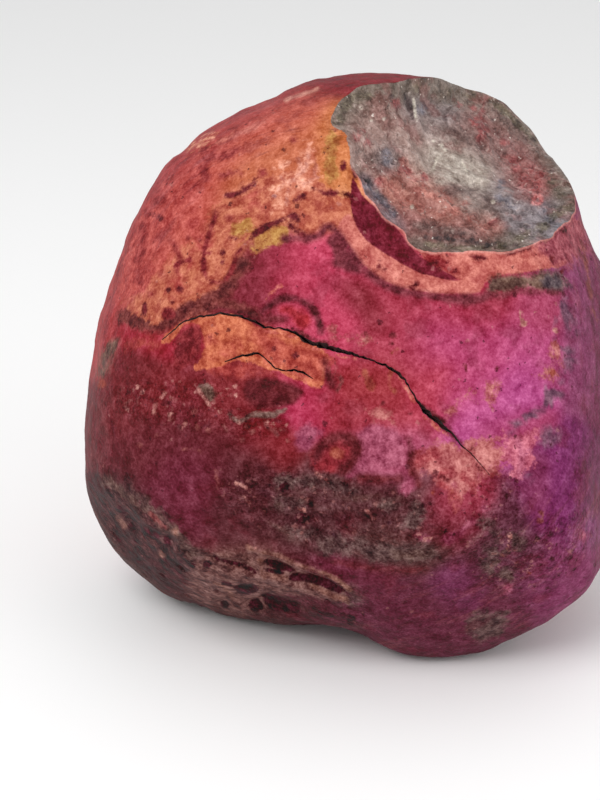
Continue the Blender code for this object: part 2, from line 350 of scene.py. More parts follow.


# Soft washes of dye, deepest in their middle, whose colours also hold painted shade, darker towards the
# bottom: colour, how far it spreads in mm, its path.
WASHES_WITH_SHADE = (
    ((168, 68, 70), 2.5, ((-51, 2), (-48, 13), (-45, 22))),
    ((160, 62, 66), 3.0, ((-44, 27), (-39, 37), (-31, 46), (-22, 51), (-15, 55))),
    ((192, 98, 88), 5.0, ((-41, 17), (-37, 27), (-32, 34))),
    ((184, 84, 78), 4.0, ((-30, 30), (-30, 37))),
    ((190, 96, 84), 3.5, ((-27, 43), (-18, 48), (-9, 52))),
    ((196, 108, 84), 4.0, ((-38, 13), (-30, 20))),
    ((190, 108, 80), 5.0, ((-23, 33), (-16, 40), (-10, 45))),
    ((196, 120, 76), 3.0, ((-4, 40), (-4, 49))),
    ((190, 132, 74), 2.5, ((-23, 29), (-19, 30))),
    ((205, 120, 84), 3.0, ((-27, 22), (-26, 27))),
    ((212, 142, 106), 3.0, ((-9, 31), (-4, 32))),
    ((132, 40, 48), 3.0, ((-12, 57), (0, 60), (14, 60))),
    ((150, 36, 54), 3.0, ((-43, 8), (-35, 7))),
    ((122, 38, 52), 4.0, ((-22, 13), (-17, 21))),
    ((168, 58, 80), 4.0, ((-13, 21), (-11, 16))),
    ((186, 70, 96), 5.0, ((-6, 22), (-5, 12), (-2, 7))),
    ((122, 40, 48), 2.5, ((-1, 16), (4, 12), (5, 9))),
    ((166, 64, 82), 4.5, ((9, 12), (12, 4), (7, 5))),
    ((156, 50, 68), 4.0, ((15, 12), (20, 11.6), (29, 11.4))),
    ((180, 76, 114), 5.5, ((18, 6), (27, 4), (24, -3))),
    ((180, 80, 122), 4.0, ((33, 6), (38, 2))),
    ((160, 66, 100), 2.5, ((28, -11.5), (38, -11))),
    ((167, 72, 101), 3.5, ((36, 11), (40, 12))),
    ((178, 82, 134), 4.5, ((27, -9), (31, -6), (36, -2))),
    ((176, 68, 86), 4.0, ((17, -2), (15, -5))),
    ((138, 68, 102), 3.0, ((45, 25), (46, 10), (47, -5))),
    ((116, 52, 76), 3.5, ((52, 22), (54, 5), (53, -8))),
    ((125, 48, 98), 4.0, ((43, -16), (42, -28))),
    ((132, 58, 90), 2.0, ((38, -19), (38, -26))),
    ((116, 56, 84), 3.5, ((49, -18), (49, -32))),
    ((102, 40, 60), 6.0, ((0, -46), (15, -49), (29, -47))),
    ((120, 50, 88), 3.0, ((20, -43), (24, -46))),
    ((132, 58, 94), 5.0, ((39, -43), (47, -38))),
    ((160, 92, 136), 2.2, ((46, -34), (49, -31))),
    ((100, 50, 66), 5.0, ((30, -34), (33, -38))),
    ((92, 50, 54), 6.0, ((12, -29), (0, -28), (-8, -26))),
    ((98, 60, 58), 3.5, ((4, -35), (15, -36))),
    ((94, 44, 50), 5.0, ((-20, -19), (-23, -29))),
    ((108, 38, 56), 6.0, ((-33, -22), (-35, -28))),
    ((102, 38, 46), 5.0, ((-44, -16), (-34, -12), (-27, -14))),
    ((116, 40, 46), 4.0, ((-46, -9), (-44, -1))),
    ((112, 52, 56), 3.0, ((-51, -8), (-53, -16))),
    ((130, 46, 52), 4.0, ((-38, -6), (-30, -5), (-26, -8))),
    ((128, 34, 42), 3.5, ((-19, -13), (-14, -16))),
    ((172, 54, 84), 3.5, ((-8, -8), (-6, -5))),
    ((150, 52, 58), 5.0, ((-2, -4), (6, -3))),
    ((156, 56, 70), 4.0, ((6, -9), (-1, -8))),
    ((172, 84, 110), 4.0, ((5, -16), (9, -17))),
    ((160, 66, 84), 3.0, ((19, -27), (24, -27))),
    ((122, 46, 60), 3.5, ((16, -31), (24, -31))),
    ((80, 38, 42), 4.0, ((-47, -25), (-40, -32), (-34, -39))),
    ((72, 38, 40), 3.5, ((-50, -31), (-44, -38), (-37, -43))),
    ((124, 82, 78), 4.0, ((-29, -42), (-21, -41))),
    ((88, 48, 50), 4.0, ((-31, -48), (-18, -51))),
    ((94, 40, 48), 4.0, ((-15, -43), (-6, -46))),
    ((106, 36, 56), 3.0, ((-3, -41), (4, -42))),
    ((148, 62, 86), 5.0, ((62, 14), (68, -4))),
    ((112, 50, 82), 5.0, ((60, -18), (68, -30))),
    ((168, 84, 84), 4.0, ((60, 26), (70, 16))),
    ((150, 60, 60), 6.0, ((-62, 30), (-66, 8))),
    ((118, 44, 54), 6.0, ((-62, -8), (-64, -24))),
    ((176, 86, 76), 5.0, ((-58, 40), (-48, 50))),
)

# Dyes with a definite edge, and some patches of painted shade and painted highlight, in the order they cover
# each other. For each: its light and dark colours, how ragged and how soft the edge is in mm, the noise that
# frays it, and where it lies.
PATCHES = {
    "brown_fringe": (((122, 58, 54), (92, 38, 42)), 0.6, 1.0, "Edge", (
        line(1.7, (-44.6, 10.6), (-42, 9.4), (-38, 9), (-35, 10.4), (-32.6, 12.4), (-29.6, 13.8),
             (-26.6, 14.8), (-24.6, 16.8), (-23, 19), (-21.6, 21.4)),
        line(1.0, (-36, 8.9), (-33, 10.9), (-28, 12.5), (-24, 13.2), (-21, 12), (-18.6, 11)),
    )),
    "orange_crust": (((190, 112, 86), (170, 86, 74)), 0.8, 0.5, "Edge", (
        area((-45, 14.5), (-44.4, 12.4), (-42.6, 11), (-41.4, 10.8), (-41, 9.8), (-39.4, 9.4), (-37.8, 9.8),
             (-37.8, 11.6), (-36, 12.6), (-34, 13.2), (-31.6, 14.4), (-29, 15.2), (-27, 16.2),
             (-25.6, 17.8), (-24.4, 20), (-23.4, 22.4), (-22, 24.6), (-20.4, 26.2), (-18.4, 27.4),
             (-16, 28.6), (-13, 29.6), (-12, 28.4), (-10.6, 27.6), (-8.6, 27.4), (-7, 27.4), (-5.4, 28.8),
             (-3.4, 28.4), (-1.4, 28.6), (0.2, 30.6), (0.2, 33.6), (-2.6, 35.4), (-6, 38), (-14, 40),
             (-24, 36), (-30, 28), (-38, 20)),
    )),
    "red_crust": (((182, 85, 78), (166, 71, 70)), 1.2, 1.6, "Blotch", (
        area((-46, 15), (-43, 14), (-40, 16), (-38, 20), (-37, 26), (-34, 31), (-31, 34), (-30, 38),
             (-36, 38), (-44, 28)),
        line(1.2, (-31, 40), (-28, 43), (-24.6, 45.4)),
        line(1.2, (-31, 32), (-30, 26), (-31.4, 21)),
        spots(1.4, (-19, 33), (-34, 17)),
    )),
    "mustard_crust": (((182, 134, 76), (168, 106, 70)), 0.8, 0.7, "Edge", (
        area((-24.4, 27.5), (-23.4, 29.4), (-20.6, 29.6), (-19, 28.2), (-20.6, 26.8), (-23, 26.6)),
        area((-20, 23.6), (-18, 23), (-16.6, 24.4), (-15, 24.6), (-12.8, 25.8), (-12.2, 27.6), (-13, 28.8),
             (-15, 29), (-16.8, 28), (-18.6, 27.2), (-19.4, 26)),
        line(1.1, (-3.6, 38), (-4.2, 42), (-3.4, 47)),
    )),
    "salmon_strip": (((200, 120, 108), (182, 98, 94)), 0.3, 0.3, "Edge", (
        area((-1.6, 30.4), (0, 31.4), (0.6, 30.6), (3.2, 26.4), (6, 24.2), (10, 22), (15, 19.7), (20, 18.1),
             (22.6, 17.6), (23.5, 20), (21, 22.8), (16, 23.6), (12.4, 24.5), (14, 26), (30, 25.5), (40, 28),
             (46, 31), (47, 27), (44, 23.6), (43.4, 21), (41, 20.4), (38, 20), (33, 19.3), (29.6, 19),
             (27.8, 18.2), (26.8, 16.6), (26, 15.3), (20, 15), (16, 15.3), (12, 16), (8, 17), (5, 19),
             (2.4, 21), (1, 23), (-1, 26), (-2.4, 27.6), (-2.6, 29)),
    )),
    "pale_bloom": (((226, 160, 136), (202, 122, 100)), 0.9, 0.9, "Bits", (
        area((-16, 33), (-15.6, 36.4), (-13.4, 38.6), (-10.6, 39.4), (-9.4, 42), (-8.4, 44.6), (-7.2, 43.6),
             (-7, 40), (-5.8, 37.6), (-7.6, 36), (-10.6, 36.4), (-12.2, 34.4), (-13.6, 32), (-15, 31.4)),
        line(0.5, (-14, 40.8), (-12.6, 41.6)),
        line(0.5, (-31.6, 44.4), (-28, 46.6)),
    )),
    "bloom_threads": (((216, 154, 138), (190, 124, 112)), 0.25, 0.4, "Edge", (
        line(0.22, (-12.8, 33), (-12.4, 36), (-11.4, 38.4), (-9.6, 39.6), (-8.6, 41), (-8.4, 43.4)),
        line(0.22, (-14.8, 35.6), (-13, 37.6), (-10.6, 37.8), (-8, 37), (-6.8, 39.4), (-7.2, 41.8)),
        line(0.22, (-10, 36), (-7.6, 38.6), (-6, 38.4)),
        line(0.2, (-9.6, 39.6), (-10.4, 42.4)),
        line(0.2, (-12.2, 37), (-14.4, 39)),
        line(0.3, (-12.8, 54), (-11, 54.6)),
        line(0.35, (-10.2, 54.8), (-8.6, 55.5)),
        line(0.25, (-7.8, 55.7), (-6.4, 56.4)),
        line(0.18, (2.2, 6.2), (3.4, 5.6)),
        line(0.18, (-0.4, 5.8), (0.8, 6.4)),
    )),
    "strip_end": (((196, 114, 102), (172, 88, 84)), 0.4, 0.5, "Edge", (
        area((13.6, 23.8), (16, 20.8), (20, 18.2), (24, 18.4), (24, 22), (21, 23.6), (17, 24.4)),
        line(0.45, (-26.4, 45.4), (-22, 47.4), (-17, 49.6)),
    )),
    "dusty_end": (((168, 92, 100), (142, 66, 80)), 1.3, 1.8, "Edge", (
        area((36, 27.6), (36.6, 24.8), (38.6, 22.6), (41.4, 21), (44, 20.6), (48, 24), (48, 31), (44, 31),
             (40, 29)),
    )),
    "crimson_wash": (((160, 66, 66), (134, 44, 54)), 1.0, 1.2, "Edge", (
        area((14.6, 23.4), (16, 21.2), (18.4, 20), (20.6, 18.8), (21.8, 19.4), (20.4, 21.6), (18.6, 22.6)),
    )),
    "maroon_band": (((122, 36, 52), (104, 26, 44)), 0.15, 0.2, "Edge", (
        area((0.4, 39), (1.4, 37.2), (2.6, 35), (4.4, 33), (6, 32), (8.2, 29.7), (10.5, 27), (12, 24.8),
             (14, 22.6), (17, 20.6), (20, 19.2), (22, 17.9), (19.6, 17.9), (17, 18.6), (14, 19.4),
             (10.6, 21), (7.4, 23), (4.6, 24.8), (2.6, 26.6), (1.2, 28.8), (0.4, 31), (0.1, 34),
             (0.2, 36.6)),
    )),
    "olive_patch": (((118, 90, 78), (96, 68, 64)), 0.6, 0.8, "Edge", (
        area((26.9, 15.5), (27.1, 17), (28.2, 18.4), (30, 18.8), (33, 18.8), (36, 19), (38.4, 19.9),
             (41, 19.9), (43, 19), (43.7, 17), (42.6, 15.8), (40, 15.7), (37, 16.1), (34, 16.3), (32, 15.7),
             (30, 15.1)),
        area((-50.8, -1.2), (-50.4, 1), (-49.6, 3.4), (-48.2, 5.8), (-46.8, 6.6), (-46.2, 5.2), (-47.2, 3),
             (-48.4, 0.6), (-49, -1.4)),
        area((-30.2, -3.6), (-29, -2.9), (-27.7, -3.6), (-26.9, -5), (-26.9, -6.7), (-28, -6.3),
             (-29.4, -5)),
    )),
    "grey_end": (((106, 90, 92), (84, 70, 78)), 0.7, 0.9, "Edge", (
        area((38.6, 19.4), (41, 19.6), (43, 18.6), (43.4, 16.4), (41, 15.8), (38.6, 16.4)),
    )),
    # Mauve dye under the strip, partly painted shadow under the strip's edge.
    "mauve_border": (((128, 56, 66), (104, 46, 56)), 0.3, 0.8, "Edge", (
        line(0.75, (-13, 26.2), (-10.5, 26.5), (-8, 26.2), (-6, 27), (-4.6, 29), (-3.2, 28.2), (-1.6, 26),
             (0, 23.8), (1.6, 21.4), (3.8, 19.2), (6.4, 17.4), (9, 16.2), (12, 15.5), (15, 15), (19, 14.5),
             (26, 14.6)),
        area((15.4, 14.9), (20, 14.8), (26, 15), (27.2, 16.2), (28.8, 15.2), (27.6, 13.6), (24, 12.8),
             (19.6, 13)),
        area((-5, 25.8), (-3.2, 27.6), (-1.4, 25.6), (0.4, 23), (2.4, 20.6), (4, 19), (1, 19.3), (-2, 20),
             (-3.6, 21), (-3.4, 24)),
        line(0.5, (28, 14.8), (31, 14.9), (34, 15.9), (38, 15.5), (41.6, 15.3)),
    )),
    "grey_border": (((126, 84, 102), (106, 70, 90)), 1.0, 1.2, "Blotch", (
        line(0.9, (43.3, 15), (43.5, 9), (43.8, 4), (43.4, 0), (42, -3.2), (39.6, -5.2), (37.4, -7.4),
             (35.6, -9.4), (33.4, -11.4)),
        spots(1.3, (39.8, -12.6), (36.6, -8.6)),
        spots(1.1, (35.4, -20.8)),
        line(1.0, (54, 26), (56, 14), (57, 2), (60, -14)),
        line(1.0, (-56, 18), (-58, 8), (-56, -8)),
    )),
    "salmon_patch": (((192, 120, 116), (166, 88, 92)), 1.5, 1.1, "Edge", (
        area((12.8, -19), (13, -17), (14.6, -15.8), (18, -14.9), (21, -14.7), (23, -15), (24.6, -13.8),
             (28, -14), (30, -15), (31.4, -16.4), (31, -19), (30, -20.4), (27.6, -20.8), (25.4, -22.4),
             (24, -24.6), (22, -27), (20.6, -27), (20.4, -24), (18.8, -22.6), (16.4, -22.4), (14, -21.4)),
        line(0.5, (20.6, -7.9), (23.4, -5.6)),
        line(0.45, (4.6, -8.8), (7.6, -9)),
        line(0.45, (28.7, -3), (28, -6.4)),
        spots(0.8, (41.6, 3.4), (42.2, 2.6), (39.8, -1)),
        line(0.3, (-2.8, 7), (0, 6.4), (2.6, 5.6)),
        area((57, 16), (60, 20), (64, 17), (63, 10), (59, 9)),
    )),
    "plum_patch": (((156, 76, 98), (132, 58, 82)), 0.6, 1.0, "Edge", (
        area((-11, -13.5), (-9.8, -11.2), (-7.4, -10.6), (-5.4, -12), (-6, -14), (-8, -16.3), (-10.2, -16)),
        line(0.6, (19.6, -34), (22, -32.2), (24, -30.4)),
    )),
    "rose_patch": (((204, 118, 134), (168, 82, 104)), 1.5, 1.0, "Edge", (
        area((31, -14.8), (32, -13.4), (33.6, -12.8), (35.6, -12.2), (37.4, -11.4), (37, -13.6),
             (35.4, -16), (35.2, -19), (34, -21.6), (32.6, -22.2), (31.6, -21), (31.2, -18)),
    )),
    "lilac_patch": (((170, 90, 112), (146, 70, 92)), 0.5, 0.8, "Edge", (
        area((1.2, -13), (3, -11.6), (6, -11), (9, -12), (10.6, -13.6), (11.3, -16), (11.3, -19),
             (10.4, -20.1), (9, -19.8), (6, -20.2), (3, -20), (1, -21.2), (-1.4, -21.6), (1.4, -19.8),
             (2.4, -17)),
        area((9.8, -24.4), (11, -21.8), (13, -21), (13.4, -22.4), (11.6, -25)),
        line(0.6, (33.4, -13.4), (34.4, -17), (33.8, -21)),
        line(0.5, (13.4, -33), (15.4, -33.6)),
        spots(0.9, (46.5, -33), (27.2, -27.6), (31.6, -43.6)),
        area((58, -6), (62, -3), (66, -8), (62, -14), (58, -12)),
        area((-60, -2), (-57, 2), (-60, 8), (-65, 4)),
    )),
    "red_graze": (((176, 82, 86), (146, 60, 70)), 1.0, 1.2, "Edge", (
        line(1.1, (13.4, -18.6), (14.8, -17.2), (17, -16.8)),
        line(0.6, (17.6, -20.4), (20, -20.8)),
        line(0.6, (23.4, -21.6), (24.6, -23)),
        line(0.5, (18.4, -22.8), (21, -24.6), (21.4, -26.6)),
    )),
    "ledge_fringe": (((168, 72, 66), (144, 54, 56)), 0.9, 1.1, "Edge", (
        area((-29.4, 0.4), (-24, 1.6), (-19, 1.8), (-15, -0.2), (-15, -1.2), (-20, -1.3), (-23, -0.9),
             (-27, -1.2)),
        line(0.9, (-44, 5), (-41.4, 5.8), (-39, 4.9)),
    )),
    "crimson_eye": (((178, 56, 64), (150, 44, 54)), 0.25, 0.8, "Edge", (
        area((-14.6, 12.4), (-12.6, 12.8), (-10, 12.4), (-8.4, 11), (-7.8, 9), (-9, 7.8), (-10.6, 8.4),
             (-11.4, 9.6), (-12, 11), (-13.6, 11.4)),
    )),
    "ledge_crust": (((204, 118, 86), (176, 90, 72)), 0.35, 0.3, "Edge", (
        area((-38, 5.4), (-37, 7), (-35, 8.9), (-32, 10.3), (-29, 10.8), (-26, 11.3), (-23, 11.1),
             (-20.6, 10.3), (-19, 9), (-17, 8.4), (-14.6, 8.3), (-12.4, 7.9), (-11, 7.3), (-9.6, 6.1),
             (-8, 5.3), (-5.6, 4.5), (-4, 2.8), (-4.6, 0.6), (-5, -1.8), (-5.8, -3.4), (-7.4, -3.6),
             (-9.4, -2.6), (-12, -1.4), (-15, -0.4), (-18, 0.6), (-20, 1.6), (-22, 2), (-24.6, 1.6),
             (-27, 0.6), (-29.6, -0.2), (-31, 0), (-31.4, 1), (-29.6, 2.4), (-29, 4.6), (-29.4, 7),
             (-30.2, 9), (-31.6, 9.6), (-33, 9), (-34.4, 7.6), (-36, 5.4)),
    )),
    "ledge_red": (((186, 92, 76), (162, 72, 66)), 1.2, 1.6, "Blotch", (
        area((-20, 8.4), (-17, 8), (-14.6, 7.6), (-11, 6.6), (-8, 5), (-5.6, 4.2), (-4.4, 2.6), (-5, -1.8),
             (-6, -3), (-9, -2.4), (-12, -1.2), (-15, 0.4), (-18, 3)),
        line(0.8, (-27.4, 2.4), (-25, 3.4)),
        spots(1.0, (-27.6, 6.4), (-22.6, 4.8)),
    )),
    "faint_stain": (((160, 70, 68), (138, 56, 60)), 0.5, 0.9, "Edge", (
        line(0.8, (-41.4, 29), (-41.8, 26)),
        line(0.7, (-41.8, 24.6), (-42.4, 21.8)),
        line(0.6, (-42.6, 19.6), (-42.2, 17.8)),
        line(0.6, (-37.6, 35.4), (-39, 33.4), (-40.6, 31.4)),
        line(0.6, (-30.4, 41.6), (-26, 42.6), (-22, 44)),
        line(0.6, (-29, 44), (-29.4, 41), (-29, 38.5)),
        line(0.5, (-36, 26), (-34, 23), (-34.6, 19.6)),
        line(0.5, (-26, 39), (-22, 39.6)),
        spots(0.6, (-40, 15.4), (-37.4, 19), (-32.6, 26.4), (-24, 30.6), (-17.4, 39.6), (-11.4, 46)),
    )),
    "red_stain": (((142, 50, 54), (112, 36, 44)), 0.35, 0.45, "Edge", (
        area((-35.6, 3.6), (-34.8, 6.4), (-33, 8.6), (-31, 9.4), (-29.6, 8.2), (-29.6, 5.6), (-30.2, 3),
             (-32, 1), (-34.4, -0.4), (-35.4, 1.4)),
        line(0.45, (-26.7, 31.5), (-27.6, 29), (-28.6, 26), (-29.3, 23.5), (-29.3, 20.5), (-28.8, 18),
             (-27, 17.3), (-24.6, 18.2), (-23.6, 20), (-23, 22.6), (-21.6, 24.8), (-19.6, 26.4)),
        line(0.45, (-29.5, 23.3), (-28, 23.4)),
        line(0.4, (-35, 21), (-32, 22.2)),
        area((-37.8, 11), (-37.6, 12.6), (-35.8, 12.6), (-34.6, 11.4), (-34.8, 10.2), (-36.6, 10)),
    )),
    "maroon_stain": (((118, 40, 46), (90, 28, 38)), 0.35, 0.4, "Edge", (
        line(0.45, (-25, 35), (-22.5, 35.2), (-20.5, 36), (-19, 37.6)),
        spots(0.6, (-21.2, 36), (-20.2, 36.4)),
        line(0.5, (-7.2, 36.3), (-5, 35.2), (-2.6, 35.6), (-0.4, 35.2)),
        line(0.5, (-19.4, 26.8), (-17.4, 28.4), (-15, 29.4), (-13, 30.2), (-11.6, 31)),
        area((-12.6, 31), (-11.6, 31.8), (-10, 31.2), (-9.8, 29.8), (-11, 29.4), (-12.4, 29.6)),
        line(0.5, (-12.2, 29.4), (-11.6, 28.2), (-10.4, 27.4), (-9.4, 27.2)),
        line(0.4, (-24.2, 26.4), (-22.8, 26.2)),
        spots(0.6, (-25.6, 23.6), (-34, 16.2), (-20, 26.2), (-38.2, 30.4), (-39.4, 31)),
        spots(0.45, (-25.6, 21.6), (-36.4, 16), (-38, 13.8), (-35.6, 13.6), (-30, 26)),
        line(0.5, (-10.8, 34), (-9.4, 35)),
        spots(0.6, (-1.4, 41.6), (-1.4, 40.4), (-2.8, 48)),
        line(0.4, (0.6, 40.2), (1.2, 38.4)),
        line(0.35, (-41.2, 13), (-41.2, 11.2)),
        line(0.3, (24, 22.9), (27, 22.4)),
        spots(0.4, (19.6, 21.6), (18, 20.2), (17.2, 21.4), (21, 20)),
        line(0.35, (31.4, 23.2), (36, 24.6), (40, 26.6), (44, 28.8)),
        spots(0.45, (6, 22), (5.8, 20.8), (7, 20.2), (13.2, 17.3), (12.4, 16.2), (15.6, 15.8), (40.2, 22.2),
              (42.4, 19.7), (8.6, 7), (8.4, 5.2), (2.9, 7.2), (29.4, 0.4), (6.8, -6.6), (12, -8.8),
              (-28, 6.6), (-15.2, 4.2), (-10.8, 2.8)),
        line(0.35, (23.2, 1), (23.5, -0.4)),
        line(0.15, (25, -18.4), (26.2, -20)),
        line(0.4, (18.2, -21.2), (19.8, -22.2)),
        line(0.4, (-1.6, -22.4), (0.6, -22.3)),
    )),
    "lower_eye": (((146, 46, 54), (122, 38, 48)), 0.3, 0.8, "Edge", (
        area((-8.6, -18), (-7.4, -15.6), (-5, -13.6), (-2, -12.9), (1, -13.6), (1.8, -15.6), (1.2, -18),
             (-0.6, -19.8), (-4, -20.6), (-7, -20.4)),
    )),
    "dark_oval": (((108, 38, 44), (94, 32, 40)), 0.3, 0.9, "Edge", (
        area((-20.6, -1.8), (-17, -1.6), (-13, -2), (-8.8, -3.8), (-10.6, -6.8), (-15, -8), (-19.6, -7.4),
             (-21.4, -4.8)),
        line(1.1, (-6.8, -17.6), (-6, -15.6), (-4, -13.8), (-1.6, -13.2), (0.8, -14), (1.4, -16),
             (0.6, -18.4), (-1.6, -20)),
        line(0.9, (2, -21.6), (6, -22), (9.4, -21.6)),
        line(0.65, (11.7, -13.9), (12.2, -16), (12, -18.4), (12.8, -20.4), (13.9, -22.6)),
        line(0.8, (-5, 1.6), (-4.6, -1), (-3.6, -2.8)),
        line(0.4, (19.6, -12), (20.8, -13.4), (22, -14.2)),
        line(0.5, (-3, -38.3), (0, -38.8), (3, -39.6), (9, -40.1), (15, -40)),
        area((-17, 11.4), (-14, 11), (-12.2, 10.4), (-12.6, 9.4), (-15, 9.2), (-17.6, 9.8)),
    )),
    "eye_ring": (((110, 42, 52), (88, 36, 44)), 0.3, 0.7, "Edge", (
        line(0.65, (-17.4, 11.8), (-15.8, 13.2), (-13.4, 14.4), (-10.8, 14.3), (-8.4, 13.3), (-6.9, 11.6),
             (-6.2, 9.6), (-5.9, 7.6)),
    )),
    "orange_thread": (((160, 82, 66), (142, 62, 58)), 0.3, 0.4, "Edge", (
        area((-4.4, -16.4), (-3.6, -15.2), (-1.6, -15.4), (-0.8, -16.8), (-1.6, -18.2), (-3.2, -18)),
        line(0.35, (8.4, 0), (7.6, -3), (9, -4.4)),
        line(0.7, (3, -0.6), (4.2, -3.4)),
        spots(0.8, (-49.6, -2.8)),
        spots(0.6, (9.4, 4), (8.4, 3.4), (40.4, -0.4)),
        spots(0.35, (30.4, -37), (35.8, -40.6), (16.6, -24.6), (20.6, -24.2)),
    )),
    "grey_mottle": (((114, 86, 83), (88, 60, 62)), 0.9, 1.1, "Edge", (
        area((-16, -22), (-13, -21.4), (-9, -20.8), (-6, -22), (-8, -23.6), (-12, -23.6), (-15, -24)),
        area((-15.4, -25.4), (-13, -25), (-11.4, -26.4), (-9.4, -27), (-10.6, -28.2), (-13.4, -27.8),
             (-15, -27)),
        area((-6.8, -22.4), (-3, -21.8), (0, -23), (2, -24.6), (-0.6, -25.4), (-4, -24.2)),
        area((-13, -30.6), (-9.6, -31.4), (-7, -32.4), (-7.6, -34.6), (-11, -33.6)),
        area((5, -27), (8.4, -25.8), (10, -27.6), (7.4, -29)),
        area((9.4, -29.4), (12, -28), (14, -25.4), (15.2, -27.6), (14.8, -31.6), (11.4, -32.6)),
        area((-6.8, -33.6), (-3, -32.4), (0.6, -33.4), (4, -34.4), (8, -34.8), (14, -35), (17.4, -35.4),
             (16.6, -38), (8, -38.6), (3, -38.2), (1, -36.4), (-0.6, -37.4), (-4, -37.6), (-6.8, -35.8)),
        area((23, -49.6), (26, -48.4), (31, -48.2), (32.4, -50), (29.4, -53.4), (25.4, -54.6), (23.4, -52)),
        spots(1.5, (27.6, -30.6), (28.4, -36.4), (31.4, -40.6), (33.6, -33.6), (29, -33.4), (27.8, -39)),
        line(0.8, (-6, -44), (2, -46.6)),
    )),
    "grey_seam": (((146, 116, 108), (116, 84, 80)), 0.2, 0.35, "Edge", (
        line(0.4, (-24, -8.8), (-23, -10), (-21.8, -10.5), (-20.6, -9.4), (-19, -8.8), (-17, -9.2),
             (-15, -8.8), (-12.8, -7.8)),
        line(0.5, (-19, -9), (-15, -8.9)),
        line(0.2, (-30.4, -3.4), (-29, -2.8), (-27.6, -3.6)),
    )),
    "foot_mottle": (((94, 56, 56), (64, 32, 38)), 1.6, 1.0, "Blotch", (
        area((-50, -21.6), (-46, -23.4), (-42, -24.6), (-39.6, -27), (-36.6, -30), (-33.4, -33),
             (-29.6, -36.4), (-27, -38.4), (-22, -38.8), (-19, -40.4), (-20, -42.6), (-25, -43), (-31, -43),
             (-38, -39), (-46, -33.6), (-50.4, -27)),
    )),
    "olive_band": (((112, 84, 78), (92, 62, 62)), 0.9, 0.7, "Edge", (
        line(0.9, (-48.6, -22.4), (-45.6, -24), (-42.2, -25.6), (-40.2, -28), (-37.6, -30.6), (-34.8, -33),
             (-32, -35.6), (-29, -37.6)),
        area((-25, -39.5), (-21, -39.6), (-19.4, -41), (-20.6, -41.9), (-24, -41.6)),
        area((8, -36), (12, -35.6), (17, -36), (15, -37.6), (9, -37.8)),
        line(0.5, (-19.4, -36.6), (-16, -37), (-14.4, -37.8)),
        spots(0.6, (30.6, -36.4), (29.4, -38.4), (31.8, -41), (-14, -26.6)),
    )),
    "beige_ground": (((134, 94, 88), (104, 66, 66)), 0.5, 1.0, "Blotch", (
        area((-31, -38.6), (-27, -36.4), (-20, -36.2), (-14, -37.6), (-8, -40.2), (-3, -43.4), (-1, -45.6),
             (-6, -45.4), (-11, -44.8), (-15, -45.4), (-18, -49.6), (-26, -48.4), (-33, -45), (-32, -41)),
    )),
    # Painted highlight along the ridges of the worn stretches, on their paler stone.
    "beige_ridge": (((156, 110, 98), (124, 84, 78)), 0.3, 0.45, "Edge", (
        line(0.4, (-20.4, -35.6), (-18, -36.4), (-15, -37), (-12.4, -38), (-9.6, -39.4), (-6.8, -40.2),
             (-4, -41.2), (-1.6, -42.8), (0, -44)),
        line(0.35, (-18, -38.2), (-17.8, -40), (-17, -41.6)),
        line(0.35, (-27, -42.4), (-24.6, -43.4), (-23.6, -45)),
        line(0.6, (-17, -40.6), (-15, -41.4), (-13, -41.8)),
        line(0.55, (-7.8, -42.5), (-6, -43.9), (-3.2, -45), (-0.6, -46)),
        spots(0.6, (-37.6, -36.8), (-35, -32.4)),
        line(0.35, (-46.4, -29.5), (-45, -31.4)),
    )),
    "pale_bits": (((196, 138, 130), (160, 102, 100)), 0.3, 0.25, "Edge", (
        spots(0.3, (-42.4, -3.4), (-41.6, -4.4), (-44.8, -6.8), (-44.6, -8), (-37, -4.8), (-35.8, -5.4),
              (-37.8, -5.6), (-31, -4.4), (-25.6, -5.6), (-23, -3.4), (-22.8, -5), (-15.4, -11),
              (-14.2, -12), (-16.6, -10.6), (-12.8, -11), (-39.4, -8.4), (-24.6, -3.8), (-19, -35.6),
              (-6.6, -39.6), (-36, -10), (-33, -11)),
        spots(0.35, (-36.6, -7.4), (-36, -8.8), (-22.2, -10.6), (-8.6, -34), (-9.6, -32.6), (3.4, -28.2)),
        line(0.25, (-30.4, -3.8), (-28.6, -6.6), (-26.8, -7.6), (-26, -8.6)),
        line(0.35, (34, 12), (34.6, 9.6)),
        spots(0.45, (34.8, 9.4), (36.8, 11.6), (41, 7.9), (23.6, 6), (-15.2, 35), (-35.8, 37.2)),
        line(0.2, (-6.6, -20.6), (-4.6, -22)),
        line(0.25, (13.2, -33), (14.6, -32.8)),
        line(0.25, (14.8, -33.8), (16.4, -33.6)),
        line(0.25, (-10.8, -27.6), (-9.2, -28)),
        line(0.35, (44.2, -36.6), (45, -35.2)),
        line(0.35, (37, -39), (35, -40.2)),
        line(0.35, (32, -33), (31.4, -35.4)),
        line(0.2, (-22.8, -22.6), (-20.8, -23.4)),
        line(0.2, (-21.4, -25.4), (-20.2, -26.6)),
    )),
    # Painted highlight on the cracks' lower lips, where the edge catches the light.
    "crack_lip": (((206, 122, 108), (176, 84, 80)), 0.35, 0.3, "Edge", (
        line(0.2, (-19, 8.9), (-16.6, 7.7), (-13.6, 7.4), (-11, 6.6)),
        line(0.2, (-7.4, 4.3), (-4.4, 3.6), (-1.4, 2.6), (1, 2.1)),
        line(0.12, (9.6, -1.4), (11.4, -3.8), (12.8, -6.3)),
        line(0.1, (-17, 14), (-16.4, 15)),
        line(0.1, (-15.6, 15.6), (-14.9, 16.2)),
        line(0.1, (-14.2, 16.6), (-13.6, 16.8)),
        line(0.14, (14.6, -9), (17.4, -11.6), (19.4, -13)),
    )),
    # Painted shadow along the cracks, under their upper lips.
    "crack_shade": (((112, 40, 46), (84, 26, 36)), 0.3, 0.45, "Edge", (
        line(0.3, (-23, 11.6), (-20, 11.1), (-18, 9.8)),
